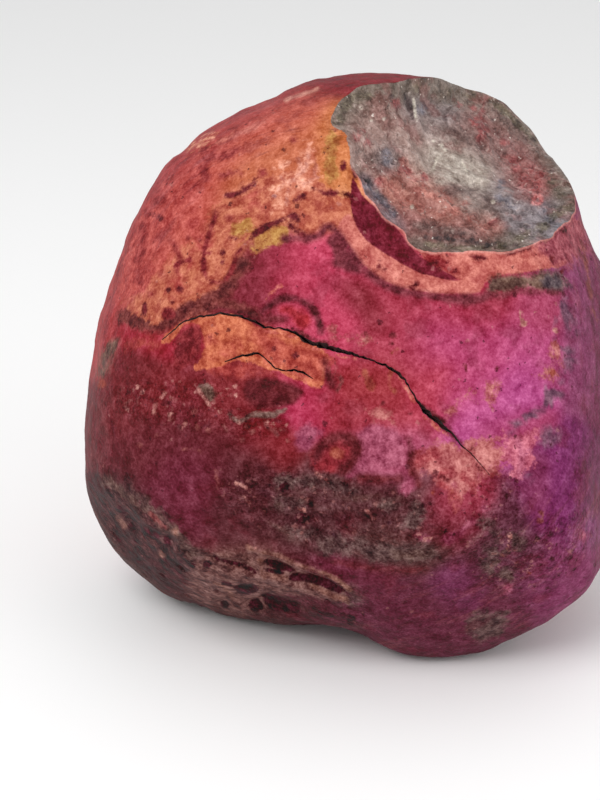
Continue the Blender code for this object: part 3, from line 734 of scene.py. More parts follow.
        line(0.35, (-12.4, 8.6), (-10, 7.6), (-7.6, 6.2), (-4.6, 5.3)),
        line(0.3, (14.2, -6.6), (16.6, -8.8), (19, -10.6)),
        line(0.12, (24.4, -15.4), (26.2, -16.6), (28, -18.4)),
    )),
    "dull_flecks": (((150, 88, 84), (124, 62, 66)), 0.3, 0.35, "Edge", (
        line(0.15, (-34, -15.8), (-31, -15.8), (-29.4, -16.6)),
        spots(0.5, (38.2, -28.6), (38, -30)),
        line(0.16, (-26.7, -20), (-26.4, -24)),
        line(0.2, (-3.4, 2), (-2.6, 0.6), (-3, -0.6)),
        line(0.2, (-2.2, -0.8), (-1.6, -2.2)),
        line(0.2, (-1.8, -2.8), (-2.6, -4.4)),
        line(0.2, (-4.4, 0.6), (-3.8, -1)),
        line(0.4, (-17, -11), (-15.4, -12), (-14.5, -13)),
        line(0.3, (46.4, 26), (47.4, 20), (48.2, 14)),
        line(0.3, (48, 12.8), (49.6, 10)),
        line(0.5, (-40, -28.6), (-37, -31.4)),
        spots(0.5, (-28.3, -12), (-35.6, -5.6), (-39, -7), (-31, -8.4), (-34, -11.6), (-19.6, -12.4)),
        spots(0.35, (-42, -15), (-38.6, -13), (-30.6, -11.6), (-24.4, -12.6), (-21.6, -14), (-12.4, -14)),
    )),
    # Painted shade in the hollows and pits of the worn stretches, over their dark dye.
    "hollow": (((78, 18, 32), (50, 12, 24)), 0.12, 0.2, "Edge", (
        area((-23.2, -43.2), (-21, -42.5), (-18.4, -42.9), (-18, -44.2), (-20, -45.1), (-22, -45),
             (-22.9, -44.2)),
        area((-20.6, -47.6), (-20, -46.1), (-18.8, -45.3), (-17.7, -46.2), (-17.1, -47.7), (-18.4, -48.4)),
        area((-18, -44.6), (-16, -44.5), (-13.4, -45.3), (-11, -46.7), (-9.6, -47.9), (-12, -48.4),
             (-15.4, -48.2), (-16.9, -46.6)),
        area((-17.2, -37.7), (-15, -37.9), (-12.4, -38.9), (-10.4, -40.3), (-12, -40.6), (-14.4, -39.7),
             (-16.9, -38.9)),
        area((-12.4, -40.7), (-10, -40.9), (-7.8, -41.5), (-6.4, -41.1), (-8.2, -42.5), (-10.6, -42.1),
             (-12.1, -42.4)),
        area((-5.8, -41.5), (-3.6, -41.9), (-1.8, -43.3), (-0.6, -44.5), (-2.6, -44.6), (-5, -43.7),
             (-6.5, -42.8)),
        line(0.4, (-27, -37.2), (-26, -38.2), (-22.6, -38.6), (-20.6, -39.4), (-18.8, -40.4)),
        line(0.8, (-22, -43.8), (-19.4, -43.7)),
        line(1.1, (-16.4, -45.9), (-13.6, -46.5), (-11, -47.5)),
        line(0.85, (-11.4, -41.4), (-8, -41.6), (-5, -42.6), (-2.2, -43.9)),
        line(0.7, (-19.6, -46.6), (-18.2, -46.8)),
        line(0.4, (-16.8, -40), (-13.6, -40.5)),
        line(0.45, (-25.4, -42.6), (-24, -42.9)),
        spots(0.85, (-28.6, -38.8), (-25, -46.8), (-36.6, -33.8), (-36.4, -34.6), (-43.6, -31.4),
              (-13, -23.3), (-13.4, -23.6)),
        spots(0.6, (-37, -36), (-42.8, -34), (-34, -38.4), (-31.5, -39.2), (-42.4, -38), (-40, -39.6),
              (-46.4, -34), (14.6, -27), (-8, -26.9), (-46, -27.6), (-48.4, -24.2), (-45.2, -28.4),
              (-38.6, -33.4), (37.4, -33.6), (40.4, -37.8)),
        line(0.6, (-41.4, -32), (-39, -32.8)),
        area((-11.4, -29), (-9.6, -28.4), (-7.6, -29.6), (-8, -30.8), (-10.6, -30.6)),
        line(0.5, (-6, -48.8), (-3.6, -49.2)),
        line(0.6, (-1.4, -49), (1, -49.8), (0, -50.4)),
    )),
}


def rounded(corners, closed):
    """A path with its corners cut twice, as a worn edge is."""
    path = np.array(corners, float)
    for _ in range(2):
        following = np.roll(path, -1, axis=0) if closed else path[1:]
        here = path if closed else path[:-1]
        cut_corners = np.stack((0.75 * here + 0.25 * following, 0.25 * here + 0.75 * following), axis=1)
        cut_corners = cut_corners.reshape(-1, 2)
        path = cut_corners if closed else np.vstack((path[:1], cut_corners, path[-1:]))
    return path


def inside(plan, outline):
    """Whether plan points lie within a closed outline."""
    count = np.zeros(len(plan), int)
    for start, end in zip(outline, np.roll(outline, -1, axis=0)):
        spans = (start[1] > plan[:, 1]) != (end[1] > plan[:, 1])
        rise = end[1] - start[1] if end[1] != start[1] else 1e-9
        crossing = start[0] + (plan[:, 1] - start[1]) / rise * (end[0] - start[0])
        count += spans & (plan[:, 0] < crossing)
    return count % 2 == 1


def outside_by(plan, shape):
    """How far plan points lie outside a shape, in mm; less than nothing inside it."""
    kind, size, points = shape
    if kind == "spots":
        return np.min([np.hypot(*(plan - middle).T) for middle in np.array(points, float)], axis=0) - size
    path = rounded(points, closed=kind == "area")
    if kind == "area":
        distance, _ = to_path(plan, np.vstack((path, path[:1])))
        return np.where(inside(plan, path), -distance, distance)
    return to_path(plan, path)[0] - size


# The broken face's own washes and patches, with painted shade in its hollows and painted glints, laid in the
# same way.
CHIP_WASHES = (
    ((170, 156, 146), 4.2, ((17.6, 42.4), (24, 38.6))),
    ((154, 124, 116), 4.5, ((4, 48), (9, 46), (14, 46))),
    ((122, 112, 114), 2.0, ((7.5, 43), (7.8, 42))),
    ((136, 124, 124), 2.5, ((14, 52), (16, 49.6), (19, 50))),
    ((122, 94, 88), 2.6, ((21, 48.6), (26.6, 45))),
    ((152, 132, 126), 2.2, ((15.4, 49), (18, 47.2))),
    ((138, 96, 92), 4.0, ((27, 49), (34, 43.6))),
    ((134, 110, 104), 2.4, ((29.6, 41), (31.4, 38.6))),
    ((114, 98, 88), 2.2, ((-2, 50), (1, 54.4), (10, 56.4), (20, 56), (28, 53), (36, 47), (41, 40), (43, 34))),
    ((170, 112, 100), 3.4, ((11, 37), (19, 32.6))),
    ((128, 76, 72), 2.6, ((12, 30), (17, 27.6), (26, 27))),
    ((154, 104, 94), 2.0, ((25.4, 29.6), (28, 28.6))),
    ((160, 94, 92), 3.0, ((33, 41), (37, 37.6))),
    ((140, 126, 126), 2.6, ((30.4, 36), (32.6, 32.6))),
    ((126, 104, 98), 2.6, ((21, 34.6), (25.6, 32.6))),
    ((128, 116, 120), 2.8, ((35, 30), (41, 31))),
    ((108, 90, 82), 1.8, ((14, 25.4), (24, 24.6), (34, 25.6))),
    ((122, 98, 102), 1.2, ((3, 37), (6, 33), (10, 28.6))),
)
CHIP_PATCHES = {
    "cream_core": (((182, 170, 158), (160, 144, 134)), 0.8, 1.4, "Blotch", (
        area((15.4, 44), (17, 45.4), (19.4, 44), (22, 42.4), (24, 40.8), (27.2, 39.4), (27.8, 37.8),
             (26.6, 36.8), (24.6, 36.9), (23, 38), (21, 37.3), (18.6, 36.7), (16.8, 37.8), (17.3, 40),
             (16.4, 42)),
    )),
    "brown_grains": (((120, 94, 88), (96, 74, 72)), 0.5, 1.1, "Edge", (
        line(0.9, (20.6, 48.6), (23, 47), (26.4, 44.6)),
        line(0.8, (20, 36), (23, 36), (26, 35), (28, 33.4)),
        line(0.8, (13, 29), (18, 28), (24, 27.4)),
        line(0.6, (29, 51.4), (33, 48.8), (36.6, 45)),
        spots(0.8, (3.6, 42.6), (1.6, 43.6), (30.6, 44.4), (29.4, 30.8)),
    )),
    "salmon_bloom": (((190, 124, 112), (160, 94, 88)), 0.7, 0.8, "Edge", (
        line(0.8, (13.4, 35.8), (16, 35), (18.8, 33.8), (21, 32)),
        line(0.6, (7, 37.6), (9.6, 35), (11.4, 33)),
        spots(0.8, (18.6, 31.6), (14.4, 32.2), (22.8, 33.4)),
        spots(0.6, (26.6, 28.6), (24.4, 30.6), (11, 42)),
    )),
    "red_bloom": (((164, 84, 82), (136, 62, 66)), 0.6, 0.7, "Edge", (
        spots(0.9, (2, 46.9), (3.4, 45.6), (35, 38.4), (14.6, 38.4), (9, 53.4)),
        spots(0.75, (5.6, 37.4), (36.4, 40.4), (38, 39), (26.4, 48), (22, 53), (25, 49.8), (32.4, 42),
              (33.4, 40.4), (34, 36.8), (29, 29.6), (31, 45.4), (24.6, 52.4), (37.6, 36.6)),
        line(0.5, (26.2, 45.8), (26.6, 48), (26, 51), (27, 54)),
        line(0.5, (10.4, 40), (13, 38.4)),
    )),
    "blue_glass": (((122, 117, 128), (102, 97, 107)), 0.6, 0.7, "Edge", (
        spots(0.8, (7.4, 43), (7.9, 41.8)),
        spots(0.8, (3.4, 36.6), (36.2, 27.8), (40, 30.2), (31.4, 33.8), (14, 52), (30, 37), (38.4, 32),
              (41.6, 28.8)),
        line(0.5, (30, 34.8), (33, 32.2)),
        line(0.5, (5, 35.4), (8.6, 31.2)),
    )),
    "olive_grains": (((112, 100, 80), (88, 76, 66)), 0.7, 0.6, "Edge", (
        line(0.9, (-2.6, 49.4), (-1.6, 52.2), (1, 54.6), (3.4, 55)),
        line(0.9, (40.6, 31), (43.6, 32.4)),
        line(0.8, (28.6, 53.6), (33, 50.4), (37, 45.8)),
        line(0.8, (33, 26.4), (36, 27.6), (39, 28.4)),
        line(0.6, (15, 25), (20, 24.6), (26, 24.4), (31, 24.6)),
        spots(0.9, (20, 56), (24, 55.2), (13, 56.8), (40.4, 37.6), (41.4, 35.4)),
    )),
    # Painted shade in the broken face's hollows and at its step, over its darker grain.
    "dark_hollow": (((84, 60, 60), (46, 32, 36)), 0.25, 0.4, "Edge", (
        line(0.3, (2.4, 39.2), (3.6, 38), (5.2, 36.2)),
        line(0.2, (5.2, 36.2), (7.4, 33.6), (9, 32)),
        spots(0.6, (3.2, 38.4)),
        line(0.6, (11.2, 55), (12, 52.8), (12.6, 50.6)),
        line(0.4, (15, 26.6), (21, 26), (29, 25)),
        spots(0.5, (31.6, 24.8), (33, 25), (36.6, 46), (42, 32), (8.4, 54.6), (40.6, 40), (27.4, 25),
              (24.6, 26.2), (19, 50.4), (28.6, 50)),
    )),
    "pink_ring": (((216, 132, 128), (180, 96, 96)), 0.1, 0.3, "Edge", (
        line(0.4, (36.6, 33.4), (38.1, 33.2), (38.3, 34.8), (36.8, 34.8), (36.6, 33.4)),
    )),
    # Painted glints, and painted highlights on the edges of small steps of the broken face.
    "pale_edge": (((226, 216, 200), (196, 184, 170)), 0.12, 0.25, "Edge", (
        line(0.24, (12.7, 54.4), (13.0, 52), (13.3, 49.8)),
        line(0.2, (17.4, 42.4), (16.6, 40)),
        line(0.2, (22.4, 41.8), (23.4, 39.6)),
        spots(0.35, (18.4, 44.8), (19, 44), (6.8, 50.2), (2.2, 52.4), (4.2, 49.8), (16.6, 45.8), (37.8, 47),
              (12.4, 32.6), (28.6, 33.6), (35, 50)),
    )),
}

# The rough, pitted stretches of the rind.
ROUGH_ZONES = (
    area((-52, -18), (-44, -24), (-36, -32), (-28, -37), (-16, -35), (-4, -38), (4, -44), (4, -60),
         (-60, -60), (-60, -20)),
    area((-24, -18), (-8, -19), (6, -23), (16, -27), (34, -27), (36, -44), (26, -40), (10, -39), (-10, -36),
         (-22, -30)),
)
# Where the rind is thick with pale flecks, veins and dark pores.
FLECKED_ZONES = (
    area((-48, -2), (-30, -2), (-24, -1), (-23, -4), (-24, -8), (-12, -8.6), (-11, -12), (-18, -14),
         (-34, -12), (-46, -10)),
    area((-28, -22), (-18, -20), (-6, -20), (4, -22), (14, -24), (20, -28), (14, -36), (0, -36), (-12, -34),
         (-24, -30)),
    area((22, -22), (32, -18), (36, -24), (34, -34), (40, -30), (48, -26), (50, -34), (40, -44), (28, -46),
         (24, -36)),
)

# The far side's washes are placed at random: their colours, how wide they are, how sharply one gives
# way to the next, and how far apart their places in the noise are.
BACK_DYES = (
    (140, 36, 56), (188, 62, 100), (122, 50, 96), (168, 64, 66), (192, 98, 84), (106, 40, 58), (176, 66, 124),
)
BACK_WASH_SIZE = 26 * MM
BACK_CONTRAST = 8.0
BACK_DYE_STEP = 11.0
# The patches that the far side has too: size in mm, the level of the noise above which one lies, and a
# place in the noise.
BACK_PATCHES = {
    "brown_fringe": (40.0, 0.06, 3.0),
    "orange_crust": (40.0, 0.13, 3.0),
    "mustard_crust": (18.0, 0.50, 5.0),
    "salmon_patch": (28.0, 0.34, 21.0),
    "lilac_patch": (24.0, 0.36, 13.0),
    "red_crust": (18.0, 0.30, 7.0),
    "olive_patch": (24.0, 0.50, 8.0),
    "maroon_stain": (8.0, 0.62, 17.0),
    "dark_oval": (22.0, 0.42, 29.0),
    "foot_mottle": (26.0, 0.40, 33.0),
    "pale_bloom": (14.0, 0.60, 41.0),
}
# How gently the patches of the far side fade, next to those of the face.
BACK_EASE = 0.4
# Finer and finer noise that breaks a far patch's outline: share, size next to the patch's, shift of place.
PATCH_NOISES = ((0.8, 1.0, 0.0), (0.45, 0.4, 0.7), (0.25, 0.15, 1.9))
# The far side's dye begins and is full this far past the outline, in mm. The outline is found in sectors.
SECTORS = 180
BACK_BEGINS = (0.5, 12.0)
# A wash is a little felt beyond its spread: how much, and over how many mm.
FAINT_WASH, FAINT_REACH = 1e-4, 12.0
# Streaks run beside the outline: how long their noise is, how far from the middle they begin and are full,
# in mm, and how much weaker they are on the far side and on the rough stretches.
STREAK_LENGTH = 5.0
STREAKS_BEGIN = (40.0, 50.0)
FEWER_BEHIND, FEWER_WHERE_ROUGH = 0.6, 0.9
# How thick the flecks lie on the far side, next to the flecked stretches of the face.
FLECKS_BEHIND = 0.4
# A zone fades from within its edge to beyond it, in mm.
ZONE_FADE = (-2.0, 1.5)
# No distance from a patch counts beyond this, in mm.
FARTHEST = 6.0
# How far the noise moves a patch's edge, in mm, for each mm of raggedness.
RAGGEDNESS = 9.0
# The relief of the rind and of the broken face, in mm.
RIND_RELIEF = {
    "lump_size": 3.8, "lump_height": 0.3, "layer_size": 2.2, "layer_height": 0.7,
    "pit_spacing": 3.2, "pit_width": 1.0, "pit_depth": 0.7, "seed": 4.0,
}
CHIP_RELIEF = {"facet_size": 4.0, "facet_tilt": 0.35, "grain_size": 1.3, "grain_tilt": 0.9, "seed": 2.0}
# Where the chip's rim is pale, with a painted highlight where the edge catches the light, on the plan, in mm,
# and how far from the chip's middle the rim is looked for.
PALE_RIM_AND_HIGHLIGHT = (
    (2, 38), (5, 34), (10, 28), (13, 24.5), (30, 23.5), (40, 27), (45, 31), (44, 36), (38, 46), (30, 53),
)
PALE_RIM_AND_HIGHLIGHT_WIDTH = 3.0
RIM_SEARCH = 45.0 * MM

# Small forms of the rind along paths on the plan, in mm: path, half width, height.
FINE_FORMS = (
    (((-22, -43.8), (-19.4, -43.8)), 0.8, -0.9),
    (((-19.6, -46.8), (-18, -46.8)), 0.9, -0.9),
    (((-17, -45.8), (-14, -46.6), (-11, -47.4)), 1.2, -1.2),
    (((-16, -38.2), (-13.4, -39.1), (-11.2, -40.3)), 0.6, -0.9),
    (((-11.4, -41.6), (-8, -41.7), (-5, -42.6), (-1.6, -43.9)), 0.8, -1.1),
    (((-26.4, -46.8), (-25, -46.6)), 0.8, -0.7),
    (((-27, -37.4), (-26, -38.2), (-22.4, -38.6), (-19, -40.2)), 0.45, -0.8),
    (((-20, -35.4), (-16, -36.6), (-12, -37.8), (-8, -39.6), (-3.4, -41.2), (0, -43.6)), 0.6, 0.7),
    (((-17, -41.4), (-12, -42.8), (-7, -43.6), (-2, -45.6)), 0.8, 0.5),
    (((-25, -40.8), (-20, -41)), 1.4, 0.5),
    (((-24, -9.2), (-21.8, -10.6), (-19, -8.9), (-15, -8.9), (-12.8, -8)), 0.5, 0.6),
    (((-23, -8.2), (-18.6, -7.6), (-14, -7.4)), 0.6, -0.5),
    (((-29.6, -3.4), (-28, -5.4), (-26.6, -7)), 1.0, 0.5),
    (((-37, -33.8), (-36, -34.6)), 1.0, -0.9),
    (((-45, -29), (-42.6, -32)), 1.0, -0.7),
    (((-41.2, -32), (-39, -32.8)), 0.7, -0.6),
    (((-13.6, -22.8), (-12.4, -23.2)), 1.1, -0.7),
    (((-11, -29), (-8, -30)), 0.9, -0.7),
    (((-16.8, 12.2), (-13, 14), (-9, 13), (-6.6, 10)), 0.7, -0.35),
    (
        ((-5.6, -14.6), (-3, -13), (-0.4, -14.2), (0.6, -16.8), (-1, -19.4), (-4, -19.6), (-6.2, -17.4),
         (-5.6, -14.6)),
        0.9, -0.4,
    ),
    (((17, 22.4), (19, 21), (21.6, 18.8)), 0.6, -0.5),
    (((-19, 53.4), (-15.4, 54.6)), 1.6, -0.35),
    (((-12, 56.4), (-7, 57.6)), 1.6, 0.4),
    (((-37, 41), (-35.6, 42.2)), 1.2, 0.25),
    (((-33.4, 43.8), (-31, 45.6)), 1.4, -0.12),
    (((-45, 27), (-44, 30)), 1.5, 0.25),
    (((-50, 6), (-49.4, 11)), 2.0, 0.35),
    (((12, -15.4), (12.4, -18), (13.2, -21)), 0.7, -0.4),
)
# Forms of the broken face in the same way.
CHIP_FORMS = (
    (((11.4, 56), (12.0, 53), (12.6, 50)), 0.8, -1.0),
    (((13.2, 54.4), (13.6, 50), (15, 46.4)), 0.6, 0.5),
    (((2.6, 39), (5.2, 36), (9.2, 31.4)), 0.8, -0.8),
    (((12, 26.8), (20, 26), (32, 25.2)), 0.8, -0.5),
    (((9, 37.6), (15, 35.6), (21.4, 32)), 1.2, 0.6),
    (((26, 38), (29, 36.4), (31.6, 33)), 0.8, 0.5),
    (((32, 42), (36, 38)), 1.6, 0.5),
)
# The smooth, glassy middle of the broken face: how rough it is next to the rest, and how it fades, in mm.
GLASSY = area(
    (11, 50), (14, 52.6), (18, 51), (20, 46), (27, 43), (32, 38), (34, 33), (29, 31.6), (23, 33.6), (18, 37),
    (13, 42),
)
GLASSY_ROUGHNESS = 0.3
GLASSY_FADE = (-2.0, 3.0)

# ---- laying the dye, painted shade and painted highlights on the stone ---------------------------
def linear(srgb):
    value = np.array(srgb) / 255.0
    return np.where(value <= 0.04045, value / 12.92, ((value + 0.055) / 1.055) ** 2.4)


def rgba(srgb):
    return (*linear(srgb), 1.0)


def smooth_step(low, high, value):
    s = np.clip((value - low) / (high - low), 0.0, 1.0)
    return s * s * (3 - 2 * s)


def unrolled(points, normals):
    """The plan carried on past the stone's outline, so that its far side has places of its own.

    Returns the places in mm, and how far round the back each one is, from 0 on the face to 1.
    """
    plan = plan_of(points)
    reach = np.hypot(plan[:, 0], plan[:, 1])
    sector = np.floor(np.arctan2(plan[:, 1], plan[:, 0]) / (2 * math.pi) * SECTORS).astype(int) % SECTORS
    farthest = np.zeros(SECTORS)
    np.maximum.at(farthest, sector, reach)
    hidden = np.einsum("ij,ij->i", normals, EYE - points) < 0
    beyond = np.where(hidden, farthest[sector] - reach, 0.0)
    spread = np.where(hidden, (2 * farthest[sector] - reach) / np.maximum(reach, 1e-6), 1.0)
    return plan * spread[:, None], smooth_step(*BACK_BEGINS, beyond)


def noise_at(points, size, place):
    return np.array([noise.noise(Vector(point / size) + Vector((place, place, 0.0))) for point in points])


def broken_noise(points, size, place):
    """Noise with finer noise on it, for patches with a broken outline."""
    return sum(share * noise_at(points, size * finer, place + shift) for share, finer, shift in PATCH_NOISES)


def flow_of(plan):
    """Places along and across the stone's outline, for streaks that run beside it."""
    angle = np.arctan2(plan[:, 1], plan[:, 0])
    return np.column_stack((STREAK_LENGTH * np.cos(angle), STREAK_LENGTH * np.sin(angle), np.hypot(*plan.T)))


def set_values(mesh, name, values, kind="FLOAT", field="value"):
    """Keeps a value for each point of the mesh under this name."""
    if name in mesh.attributes:
        mesh.attributes.remove(mesh.attributes[name])
    mesh.attributes.new(name, kind, "POINT").data.foreach_set(field, values.astype(np.float32).ravel())


def washed(plan, washes):
    """The washes blended by how near each one is."""
    total, weights = np.zeros((len(plan), 3)), np.full(len(plan), 1e-9)
    for colour, spread, path in washes:
        distance, _ = to_path(plan, path)
        weight = np.exp(-((distance / spread) ** 2)) + FAINT_WASH * np.exp(-distance / FAINT_REACH)
        total += weight[:, None] * linear(colour)
        weights += weight
    return total / weights[:, None]


def outside_all(plan, shapes):
    """How far plan points lie outside the nearest of these shapes, in mm, up to FARTHEST."""
    distance = np.full(len(plan), FARTHEST)
    for shape in shapes:
        corners, margin = np.array(shape[2], float), shape[1] + FARTHEST
        near = np.all((plan > corners.min(axis=0) - margin) & (plan < corners.max(axis=0) + margin), axis=1)
        distance[near] = np.minimum(distance[near], outside_by(plan[near], shape))
    return np.maximum(distance, -FARTHEST)


def share_in(plan, back, zones):
    """1 well within these zones of the face, and 0 well outside them."""
    return (1 - smooth_step(*ZONE_FADE, outside_all(plan, zones))) * (1 - back)


def far_dye(points):
    """The washes of the far side, blended by a noise for each."""
    total, weights = np.zeros((len(points), 3)), np.zeros(len(points))
    for place, colour in enumerate(BACK_DYES):
        weight = np.exp(BACK_CONTRAST * noise_at(points, BACK_WASH_SIZE, BACK_DYE_STEP * place))
        total += weight[:, None] * linear(colour)
        weights += weight
    return total / weights[:, None]


def far_patch(name, points):
    """How far places on the far side lie outside a patch, in mm."""
    if name not in BACK_PATCHES:
        return FARTHEST
    size, level, place = BACK_PATCHES[name]
    distance = (level - broken_noise(points, size * MM, place)) * size * BACK_EASE
    return np.clip(distance, -FARTHEST, FARTHEST)


def lay_dye(mesh):
    """Gives the mesh the values that its finishes read, on the face and carried on round the back."""
    points = places_of(mesh)
    plan, back = unrolled(points, vertex_values(mesh, "normal"))
    behind = back > 0
    opaque = np.ones((len(points), 1))

    # The face's washes hold painted shade as well as dye, darker towards the bottom.
    dye_and_shade = washed(plan, WASHES_WITH_SHADE)
    dye_and_shade[behind] += (far_dye(points[behind]) - dye_and_shade[behind]) * back[behind, None]
    set_values(mesh, "dye_and_shade", np.hstack((dye_and_shade, opaque)), "FLOAT_COLOR", "color")
    set_values(mesh, "chip_tint", np.hstack((washed(plan, CHIP_WASHES), opaque)), "FLOAT_COLOR", "color")
    for name, (*_, shapes) in (PATCHES | CHIP_PATCHES).items():
        distance = outside_all(plan, shapes)
        distance[behind] += (far_patch(name, points[behind]) - distance[behind]) * back[behind]
        set_values(mesh, name, distance)

    rough = share_in(plan, back, ROUGH_ZONES)
    at_edge = smooth_step(*STREAKS_BEGIN, np.hypot(*plan.T))
    # The chip's pale rim, with a painted highlight where its edge catches the light.
    pale_rim = np.exp(-((to_path(plan, PALE_RIM_AND_HIGHLIGHT)[0] / PALE_RIM_AND_HIGHLIGHT_WIDTH) ** 2)) * (1 - back)
    set_values(mesh, "flow", flow_of(plan), "FLOAT_VECTOR", "vector")
    set_values(mesh, "edge_streaks", at_edge * (1 - FEWER_BEHIND * back) * (1 - FEWER_WHERE_ROUGH * rough))
    set_values(mesh, "flecked", share_in(plan, back, FLECKED_ZONES) + FLECKS_BEHIND * back)
    set_values(mesh, "rim_distance", rim_distance(mesh, points))
    set_values(mesh, "pale_rim", pale_rim)
    set_values(mesh, "weathered", rough)


def rim_distance(mesh, points):
    """Each point's distance from the chip's rim, in mm: less than nothing on the broken face."""
    chip_side, rind_side = set(), set()
    for face in mesh.polygons:
        (chip_side if face.material_index == 1 else rind_side).update(face.vertices)
    rim = chip_side & rind_side
    tree = kdtree.KDTree(len(rim))
    for vert in rim:
        tree.insert(points[vert], vert)
    tree.balance()
    near = np.linalg.norm(points - CHIP_MIDDLE, axis=1) < RIM_SEARCH
    distance = np.full(len(points), FARTHEST)
    for vert in np.flatnonzero(near):
        distance[vert] = min(FARTHEST, tree.find(points[vert])[2] / MM)
    inner = np.array(sorted(chip_side))
    distance[inner] *= -1
    return distance


# ---- the finishes' own numbers --------------------------------------------------------------------
# The noises that the stone's grain is made of: width of the lumps in mm, detail, roughness, warp.
GRAIN = {
    "Edge": (3.2, 7.0, 0.72),
    "Blotch": (4.2, 4.0, 0.5, 0.5),
    "Tone": (2.0, 4.0, 0.62),
    "Broad": (6.0, 3.0, 0.6),
    "Fine": (0.5, 2.0, 0.7),
    "Bits": (1.5, 3.0, 0.55, 0.2),
}
STREAKS = (1.8, 5.0, 0.68)
# How the outlines of specks and of broken grains are bent: noise lumps to the mm, and how far in mm.
SPECK_BEND = (2.4, 0.9)
FACET_BEND = (0.5, 1.6)
LEAST_SPECK = 0.4
DARKEST = 0.03
# Small marks of the rind: drifts, layers paler on the raised ones with painted shade in their troughs,
# streaks beside the outline, pits dark with dye and painted shade, the chip's pale rim with a painted
# highlight, specks with painted light and shade.
DRIFT_RED = (112, 34, 48)
LAYER_RIDGE_PALE, LAYER_TROUGH_PAINTED_SHADE = (118, 86, 80), (72, 26, 36)
STREAK_PINK, STREAK_SHADE = (166, 96, 100), (92, 30, 46)
PIT_DYE_AND_PAINTED_SHADE = (58, 16, 28)
RIM_PINK_AND_HIGHLIGHT = (210, 146, 138)
PORE_DARK_AND_SHADE, BIT_DARK_AND_SHADE, FLECK_PINK_AND_HIGHLIGHT = (76, 20, 32), (72, 22, 34), (172, 116, 112)
# And of the broken face, with its painted glints, and of the cracks' walls, painted near black as shade in a
# crack.
AGATE_RED, AGATE_PALE, AGATE_SHADE, GLINT_HIGHLIGHT = (124, 68, 64), (190, 172, 164), (74, 52, 50), (236, 224, 214)
WALL_SHADE_DARK, WALL_SHADE_LIGHT = (26, 12, 12), (66, 26, 26)
# How much light the rind, the broken face and the cracks' walls throw back.
RIND_SHINE, AGATE_SHINE, WALL_SHINE = 0.11, 0.4, 0.5


# ---- node helpers --------------------------------------------------------------------------------
def node(tree, kind, *inputs, **settings):
    """A node with its first inputs set or linked in order. None leaves one as it is."""
    made = tree.nodes.new(kind)
    for name, value in settings.items():
        setattr(made, name, value)
    feed(tree, zip(made.inputs, inputs))
    return made


def feed(tree, values):
    """Links or sets each socket."""
    for socket, value in values:
        if isinstance(value, bpy.types.NodeSocket):
            tree.links.new(value, socket)
        elif value is not None:
            socket.default_value = value


def calc(tree, operation, *values):
    return node(tree, "ShaderNodeMath", *values, operation=operation).outputs[0]


def vector(tree, operation, *values):
    return node(tree, "ShaderNodeVectorMath", *values, operation=operation).outputs[0]


def scaled(tree, direction, amount):
    made = node(tree, "ShaderNodeVectorMath", direction, operation="SCALE")
    tree.links.new(amount, made.inputs["Scale"])
    return made.outputs[0]


def in_mm(tree, place):
    return vector(tree, "MULTIPLY", place, (1000.0,) * 3)


def swing(tree, value, middle, amount, base=None):
    """How far value is from middle, times amount, on top of base."""
    over = calc(tree, "SUBTRACT", value, middle)
    if base is None:
        return calc(tree, "MULTIPLY", over, amount)
    return calc(tree, "MULTIPLY_ADD", over, amount, base)


def ramp(tree, value, low, high, start=0.0, end=1.0):
    """A smooth change from start to end as value goes from low to high."""
    made = node(tree, "ShaderNodeMapRange", value, low, high, start, end, interpolation_type="SMOOTHSTEP")
    return made.outputs[0]


def blend(tree, share, under, over):
    made = node(tree, "ShaderNodeMix", data_type="RGBA", blend_type="MIX", clamp_factor=True)
    feed(tree, ((made.inputs[0], share), (made.inputs[6], under), (made.inputs[7], over)))
    return made.outputs[2]


def cloud(tree, place, size, detail=2.0, roughness=0.55, warp=0.0):
    """Noise whose lumps are about size wide, in the units of place."""
    return node(
        tree, "ShaderNodeTexNoise", place, None, 1.0 / size, detail, roughness, 2.0, 0.0, 1.0, warp,
    ).outputs[0]


def bent(tree, place, lumps_to_mm, reach):
    """The place moved a little by noise, so that what is drawn there has no straight edge."""
    moved = node(tree, "ShaderNodeTexNoise", place, None, lumps_to_mm, 1.0).outputs[1]
    moved = vector(tree, "SUBTRACT", moved, (0.5,) * 3)
    return vector(tree, "MULTIPLY_ADD", moved, (reach,) * 3, place)


def cells(tree, place, size, seed=None):
    """Cells about size wide. A seed gives a set of their own."""
    made = node(tree, "ShaderNodeTexVoronoi", place, voronoi_dimensions="3D" if seed is None else "4D")
    if seed is not None:
        tree.links.new(seed, made.inputs["W"])
    tree.links.new(calc(tree, "DIVIDE", 1.0, size), made.inputs["Scale"])
    return made.outputs


# ---- effects that the finishes share -------------------------------------------------------------
def group(name, inputs, outputs):
    """An empty node group with these sockets, each a name and one of Float, Color and Vector."""
    made = bpy.data.node_groups.new(name, "ShaderNodeTree")
    for in_out, sockets in (("INPUT", inputs), ("OUTPUT", outputs)):
        for label, kind in sockets.items():
            made.interface.new_socket(label, in_out=in_out, socket_type=f"NodeSocket{kind}")
    taken = made.nodes.new("NodeGroupInput")
    given = made.nodes.new("NodeGroupOutput")
    return made, {s.name: s for s in taken.outputs if s.name}, {s.name: s for s in given.inputs if s.name}


def place_group(tree, made, **inputs):
    """Puts a group in a material. Input names are given in small letters."""
    placed = tree.nodes.new("ShaderNodeGroup")
    placed.node_tree = made
    feed(tree, ((placed.inputs[name.capitalize()], value) for name, value in inputs.items()))
    return {s.name: s for s in placed.outputs}


def grain_group():
    """The noises of the stone's grain, for places in mm."""
    tree, given, out = group("stone_grain", {"Place": "Vector"}, dict.fromkeys(GRAIN, "Float"))
    for name, look in GRAIN.items():
        tree.links.new(cloud(tree, given["Place"], *look), out[name])
    return tree


